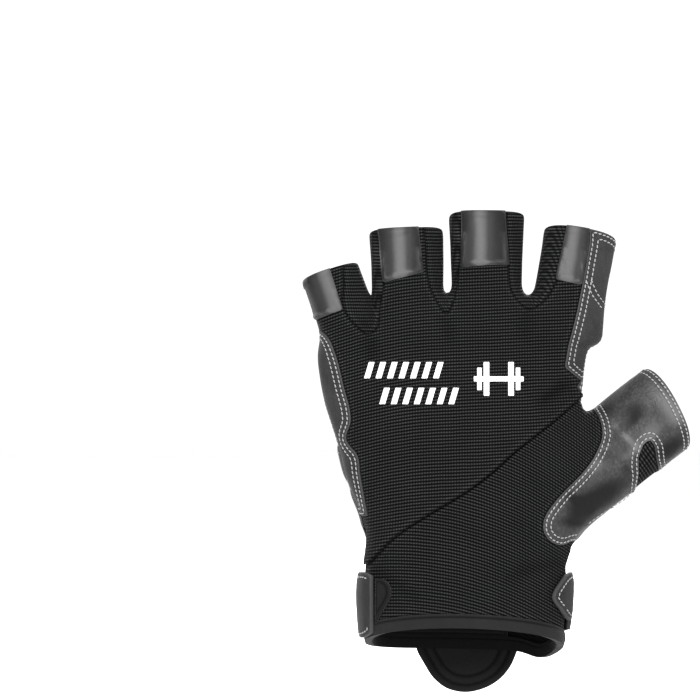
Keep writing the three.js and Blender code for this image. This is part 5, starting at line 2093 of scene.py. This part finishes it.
    def inlays(self) -> None:
        """The capsule inlays on the palm side of the fingers."""
        end = np.linspace(7.6, 10.25, 8)
        s = np.concatenate([-end[::-1], np.linspace(-6.5, 6.5, 14), end])
        round_end = np.clip(np.abs(s) - INLAY_STRAIGHT, 0, INLAY_ROUND)
        widths = 2 * np.sqrt(np.maximum(INLAY_ROUND**2 - round_end**2, 0.25))
        for finger, x, z, lean in zip(FINGERS, *INLAYS.values()):
            # The ring finger's inlay takes the painted highlight copy of the rubber.
            shade = self.finishes.painted_highlight_inlay if finger.name == "ring" else self.finishes.inlay
            turn = math.radians(lean)
            places = np.stack([x - s * math.sin(turn), z + s * math.cos(turn)], axis=1)
            name = f"finger_inlay_{finger.name}"
            obj = self.swept(f"{name}_rubber", places, widths, INLAY_CREST, shade)
            dress(obj, "silicone", name)

    def bars(self) -> None:
        """The raised grip bars across the palm, fading at both ends."""
        for n, z in enumerate(BAR_HEIGHTS):
            left = float(np.interp(z, BAR_LEFT["z"], BAR_LEFT["x"]))
            right = float(np.interp(z, BAR_RIGHT["z"], BAR_RIGHT["x"]))
            wide = 1.2 if n > 9 else 1.75 - 0.03 * n
            count = max(10, int((right - left) / 1.4))
            t = np.linspace(0, 1, count)
            sag = (right - left) * BAR_SAG * t * (1 - t)
            widths = wide * (0.3 + 0.7 * np.sin(np.pi * np.clip(t, 0.02, 0.98)) ** 0.35)
            places = np.stack([left + (right - left) * t, z - BAR_FALL * (1 - t) - sag], axis=1)
            name = f"grip_bar_{n + 1:02d}"
            obj = self.swept(f"{name}_rubber", places, widths, BAR_CREST, self.finishes.silicone)
            dress(obj, "silicone", name)

    def tongue(self) -> None:
        """The rounded pull tab under the palm side of the cuff, with its raised centre."""
        corners = np.array(TONGUE, float)
        run = run_length(corners)
        edge = on_line(corners, run, np.linspace(0, run[-1], 81))
        centre = np.array([-0.4, self.tongue_top])
        rings = (1.0, 0.985, 0.955, 0.91, 0.87, 0.845, 0.82, 0.76, 0.7, 0.66, 0.62, 0.55, 0.4, 0.22)
        relief = (0.0, 0.45, 0.7, 0.7, 0.45, 0.0, 0.2, 0.45, 0.4, 0.15, 0.4, 0.5, 0.5, 0.5)
        points, facts = [], []
        for side, thick in ((1, 2.0), (-1, 0.0)):
            for k, ring in enumerate(rings):
                at = centre + (edge - centre) * ring
                at[:, 1] = np.minimum(at[:, 1], self.tongue_top)
                y = 19.2 - 0.06 * (at[:, 1] + 6) + thick + side * (relief[k] - 0.35)
                points.append(np.stack([at[:, 0], y, at[:, 1]], axis=1))
                facts.append(np.full(len(at), min(abs(0.845 - ring), abs(0.66 - ring)) * 12))
        n, count = len(edge), len(rings)
        faces: list[list[int]] = []
        for s in range(2):
            for k in range(count - 1):
                a0, b0 = (s * count + k) * n, (s * count + k + 1) * n
                for i in range(n - 1):
                    quad = [a0 + i, a0 + i + 1, b0 + i + 1, b0 + i]
                    faces.append(quad if s else quad[::-1])
            inner = (s * count + count - 1) * n
            cap = list(range(inner, inner + n))
            faces.append(cap if s else cap[::-1])
        for i in range(n - 1):
            faces.append([i, i + 1, count * n + i + 1, count * n + i])
        for k in range(count - 1):
            for i in (0, n - 1):
                a, b = k * n + i, (k + 1) * n + i
                faces.append([a, b, b + count * n, a + count * n])
        front, back = (count - 1) * n, (2 * count - 1) * n
        faces.append([front, front + n - 1, back + n - 1, back])
        obj = to_object("wrist_tongue_tab", np.concatenate(points), faces,
                        {"seam": np.concatenate(facts)}, self.finishes.dark_fabric)
        face_outwards(obj)
        dress(obj, "soft_binding", "wrist_tongue", "tongue_pad")


@dataclass
class Sewing:
    """All the visible stitch rows."""

    shell: Shell
    overlays: Overlays
    size: tuple[float, float, float] = (1.5, 0.55, 0.4)
    tack_size: tuple[float, float, float] = (0.5, 1.0, 0.45)
    tack_pitch: float = 0.62
    row_lift: float = 0.04
    # side, height over the skin, then the places of a single row
    free_rows: tuple[tuple[bool, float, Outline], ...] = (
        (True, 0.5, [(59.8, 89.6), (52.0, 82.0), (44.6, 76.5), (39.8, 75.8)]),
        (False, 0.5, [(41.9, 39.4), (49.1, 44.2), (55, 47.2), (59.2, 51.3)]),
        (False, 0.6, [(41.3, 126.4), (43.2, 121.6), (46.8, 116.5)]),
        (False, 0.6, [(43.0, 127.0), (44.9, 122.2), (48.4, 117.4)]),
    )
    tacks: tuple[tuple[bool, float, Outline], ...] = (
        (True, 0.65, [(13.4, 20.9), (18.4, 20.9)]),
        (True, 1.3, [(-20.9, 21.3), (-30.5, 21.5)]),
    )

    def build(self) -> None:
        """Lays every stitch row."""
        self.palm()
        self.thumb()
        self.heel_and_strap()
        self.singles()

    def rows(self, run: StitchRun, cut: Cut, values: Array, levels: Sequence[float],
             keep: Field | None = None) -> None:
        """Lays rows along lines of equal value over a raised piece.

        Args:
            run: The run that takes the stitches.
            cut: The raised piece.
            values: The number at each corner that the rows follow.
            levels: The value that each row lies on.
            keep: Where stitches are wanted, positive inside.
        """
        for level in levels:
            for points, normals in cut.contour(values, level):
                run.follow(points, normals, self.row_lift, keep)

    def palm(self) -> None:
        """Double rows round the palm and along its curved seam."""
        form = self.shell.skin.form
        palm = self.shell.cuts[Panel.PALM].raised(self.shell.suede_lift)
        run = StitchRun()

        def keep(p: Array) -> Array:
            """Leaves out the little finger's outer edge and the strip under the strap."""
            outer = (p[:, 0] < -54) & (p[:, 2] > 108) & (form.side(p) > -6)
            outer |= (p[:, 0] < -30) & (p[:, 2] < 25) & (form.side(p) > 0)
            return np.where(outer, -1.0, np.where(form.side(p) > 0, p[:, 2] - 20, p[:, 2] - 38))

        self.rows(run, palm, palm.facts["edge"], (1.0, 2.8), keep)
        x, z = palm.flat
        seam = np.where(form.side(palm.points) > 0, line_field(PALM_SEAM, x, z), FAR)
        self.rows(run, palm, seam, (-0.95, 0.95))
        dress(run.build("palm_stitches", self.shell.finishes.thread, self.size), "suede")

    def thumb(self) -> None:
        """Double rows along the thumb's seams, and the hem inside its opening."""
        form = self.shell.skin.form
        cut = self.shell.cuts[Panel.THUMB]
        run = StitchRun()

        def outside(p: Array) -> Array:
            """The rows that show on the back of the thumb."""
            low_edge = (p[:, 0] > 38) & (p[:, 2] < 0.72 * p[:, 0] + 12) & (p[:, 0] < 57)
            return np.where((form.side(p) < -1.5) & ~low_edge, 1.0, -1.0)

        self.rows(run, cut.raised(self.shell.leather_lift), cut.facts["edge"], (0.95, 2.7), outside)

        def inside(p: Array) -> Array:
            """The hem that shows inside the thumb's opening."""
            return np.where((form.side(p) < -1.5) & (form.openings(p) > -7), 1.0, -1.0)

        wall = self.shell.leather_wall
        inner = Cut(cut.points - cut.normals * wall, -cut.normals, cut.faces, cut.facts)
        self.rows(run, inner, cut.facts["edge"], (0.95, 2.7), inside)
        dress(run.build("thumb_stitches", self.shell.finishes.thread, self.size), "glossy_leather")

    def heel_and_strap(self) -> None:
        """Rows on the heel panel's arcs and round the strap."""
        form = self.shell.skin.form
        run = StitchRun()
        heel = self.overlays.cuts["heel"]
        x, z = heel.flat

        def above_strap(p: Array) -> Array:
            """Positive above the strap's upper edge."""
            return p[:, 2] - 22.5

        self.rows(run, heel, line_field(HEEL_ARC, x, z), (0.9, 2.7), above_strap)
        self.rows(run, heel, line_field(HEEL_INNER_SEAM, x, z), (-0.95, 0.95), above_strap)
        strap = self.overlays.cuts["strap"]

        def keep(p: Array) -> Array:
            """Leaves out the strap's ends that turn under."""
            x, z = p[:, 0], p[:, 2]
            ends = ((x < -32.6) & (z > 2.0) & (z < 19.0)) | ((x > 20) & (x < 34.5) & (z < 10))
            return np.where((form.side(p) < 0) & ends, -1.0, 1.0)

        self.rows(run, strap, strap.facts["edge"], (1.5,), keep)
        dress(run.build("heel_and_strap_stitches", self.shell.finishes.thread, self.size), "suede")

    def singles(self) -> None:
        """Single rows that cross a panel, and short dense tacks."""
        rows, tacks = StitchRun(), StitchRun(self.tack_pitch)
        for run, table_rows in ((rows, self.free_rows), (tacks, self.tacks)):
            for palm, lift, line in table_rows:
                places = np.array(rounded(line, closed=False), float)
                length = run_length(places)
                at = np.linspace(0, length[-1], max(8, int(length[-1] / 0.7)))
                spots = [self.overlays.landing(x, z, palm) for x, z in on_line(places, length, at)]
                points, normals = (np.array([s[n] for s in spots]) for n in range(2))
                run.follow(points, normals, lift)
        thread = self.shell.finishes.thread
        dress(rows.build("single_rows", thread, self.size), "glossy_leather")
        dress(tacks.build("bar_tacks", thread, self.tack_size), "suede")


@dataclass
class Studio:
    """Camera, lights and floor."""

    lens: float = 200.0
    sensor: float = 36.0
    floor_size: float = 4.0
    aim: tuple[float, float, float] = (0.0, 0.0, 0.07)
    view_width: float = 252.0
    centre: tuple[float, float] = (-43.2, 101.5)
    floor: float = -36.0

    def build(self) -> None:
        """Sets the camera at the photo's framing and lights the glove softly."""
        scene = bpy.context.scene
        data = bpy.data.cameras.new("camera")
        data.lens = self.lens
        data.sensor_width = self.sensor
        data.clip_end = 50.0
        camera = add_object("camera", data)
        distance = self.view_width * self.lens / self.sensor
        camera.location = (self.centre[0] * MM, -distance * MM, self.centre[1] * MM)
        camera.rotation_euler = (math.pi / 2, 0, 0)
        scene.camera = camera
        world = bpy.data.worlds.new("studio")
        world.use_nodes = True
        sky = world.node_tree.nodes["Background"]
        sky.inputs["Color"].default_value = (1, 1, 1, 1)
        sky.inputs["Strength"].default_value = 1.1
        scene.world = world
        scene.view_settings.view_transform = "Standard"
        self.light("key", (-0.35, -1.15, 0.6), 0.3, 27.0)
        self.light("fill", (0.8, -0.9, 0.3), 0.4, 8.0)
        self.light("palm_key", (0.35, 1.15, 0.6), 0.3, 27.0)
        self.light("palm_fill", (-0.8, 0.9, 0.3), 0.4, 8.0)
        self.light("top", (0.0, 0.0, 1.1), 0.5, 5.0)
        mesh = bpy.data.meshes.new("studio_floor")
        edge = self.floor_size
        corners = [(-edge, -edge), (edge, -edge), (edge, edge), (-edge, edge)]
        mesh.from_pydata([(x, y, self.floor * MM) for x, y in corners], [], [(0, 1, 2, 3)])
        mesh.materials.append(PlainPaint().make())
        add_object("studio_floor", mesh)

    def light(self, name: str, place: tuple[float, float, float], size: float, power: float) -> None:
        """Adds one soft square light that looks at the glove.

        Args:
            name: Its name.
            place: Where it stands, in metres.
            size: The edge of the square, in metres.
            power: Its power, in watts.
        """
        data = bpy.data.lights.new(name, "AREA")
        data.size = size
        data.energy = power
        lamp = add_object(name, data)
        lamp.location = place
        way = Vector(self.aim) - Vector(place)
        lamp.rotation_euler = way.to_track_quat("-Z", "Y").to_euler()


def main() -> None:
    """Builds the glove and its studio."""
    logging.basicConfig(level=logging.INFO, format="%(message)s")
    finishes = Finishes()
    skin = Skin(HandForm())
    shell = Shell(skin, finishes)
    shell.build()
    overlays = Overlays(skin, finishes)
    overlays.build()
    Sewing(shell, overlays).build()
    Studio().build()
    bpy.context.view_layer.update()


if __name__ == "__main__":
    main()
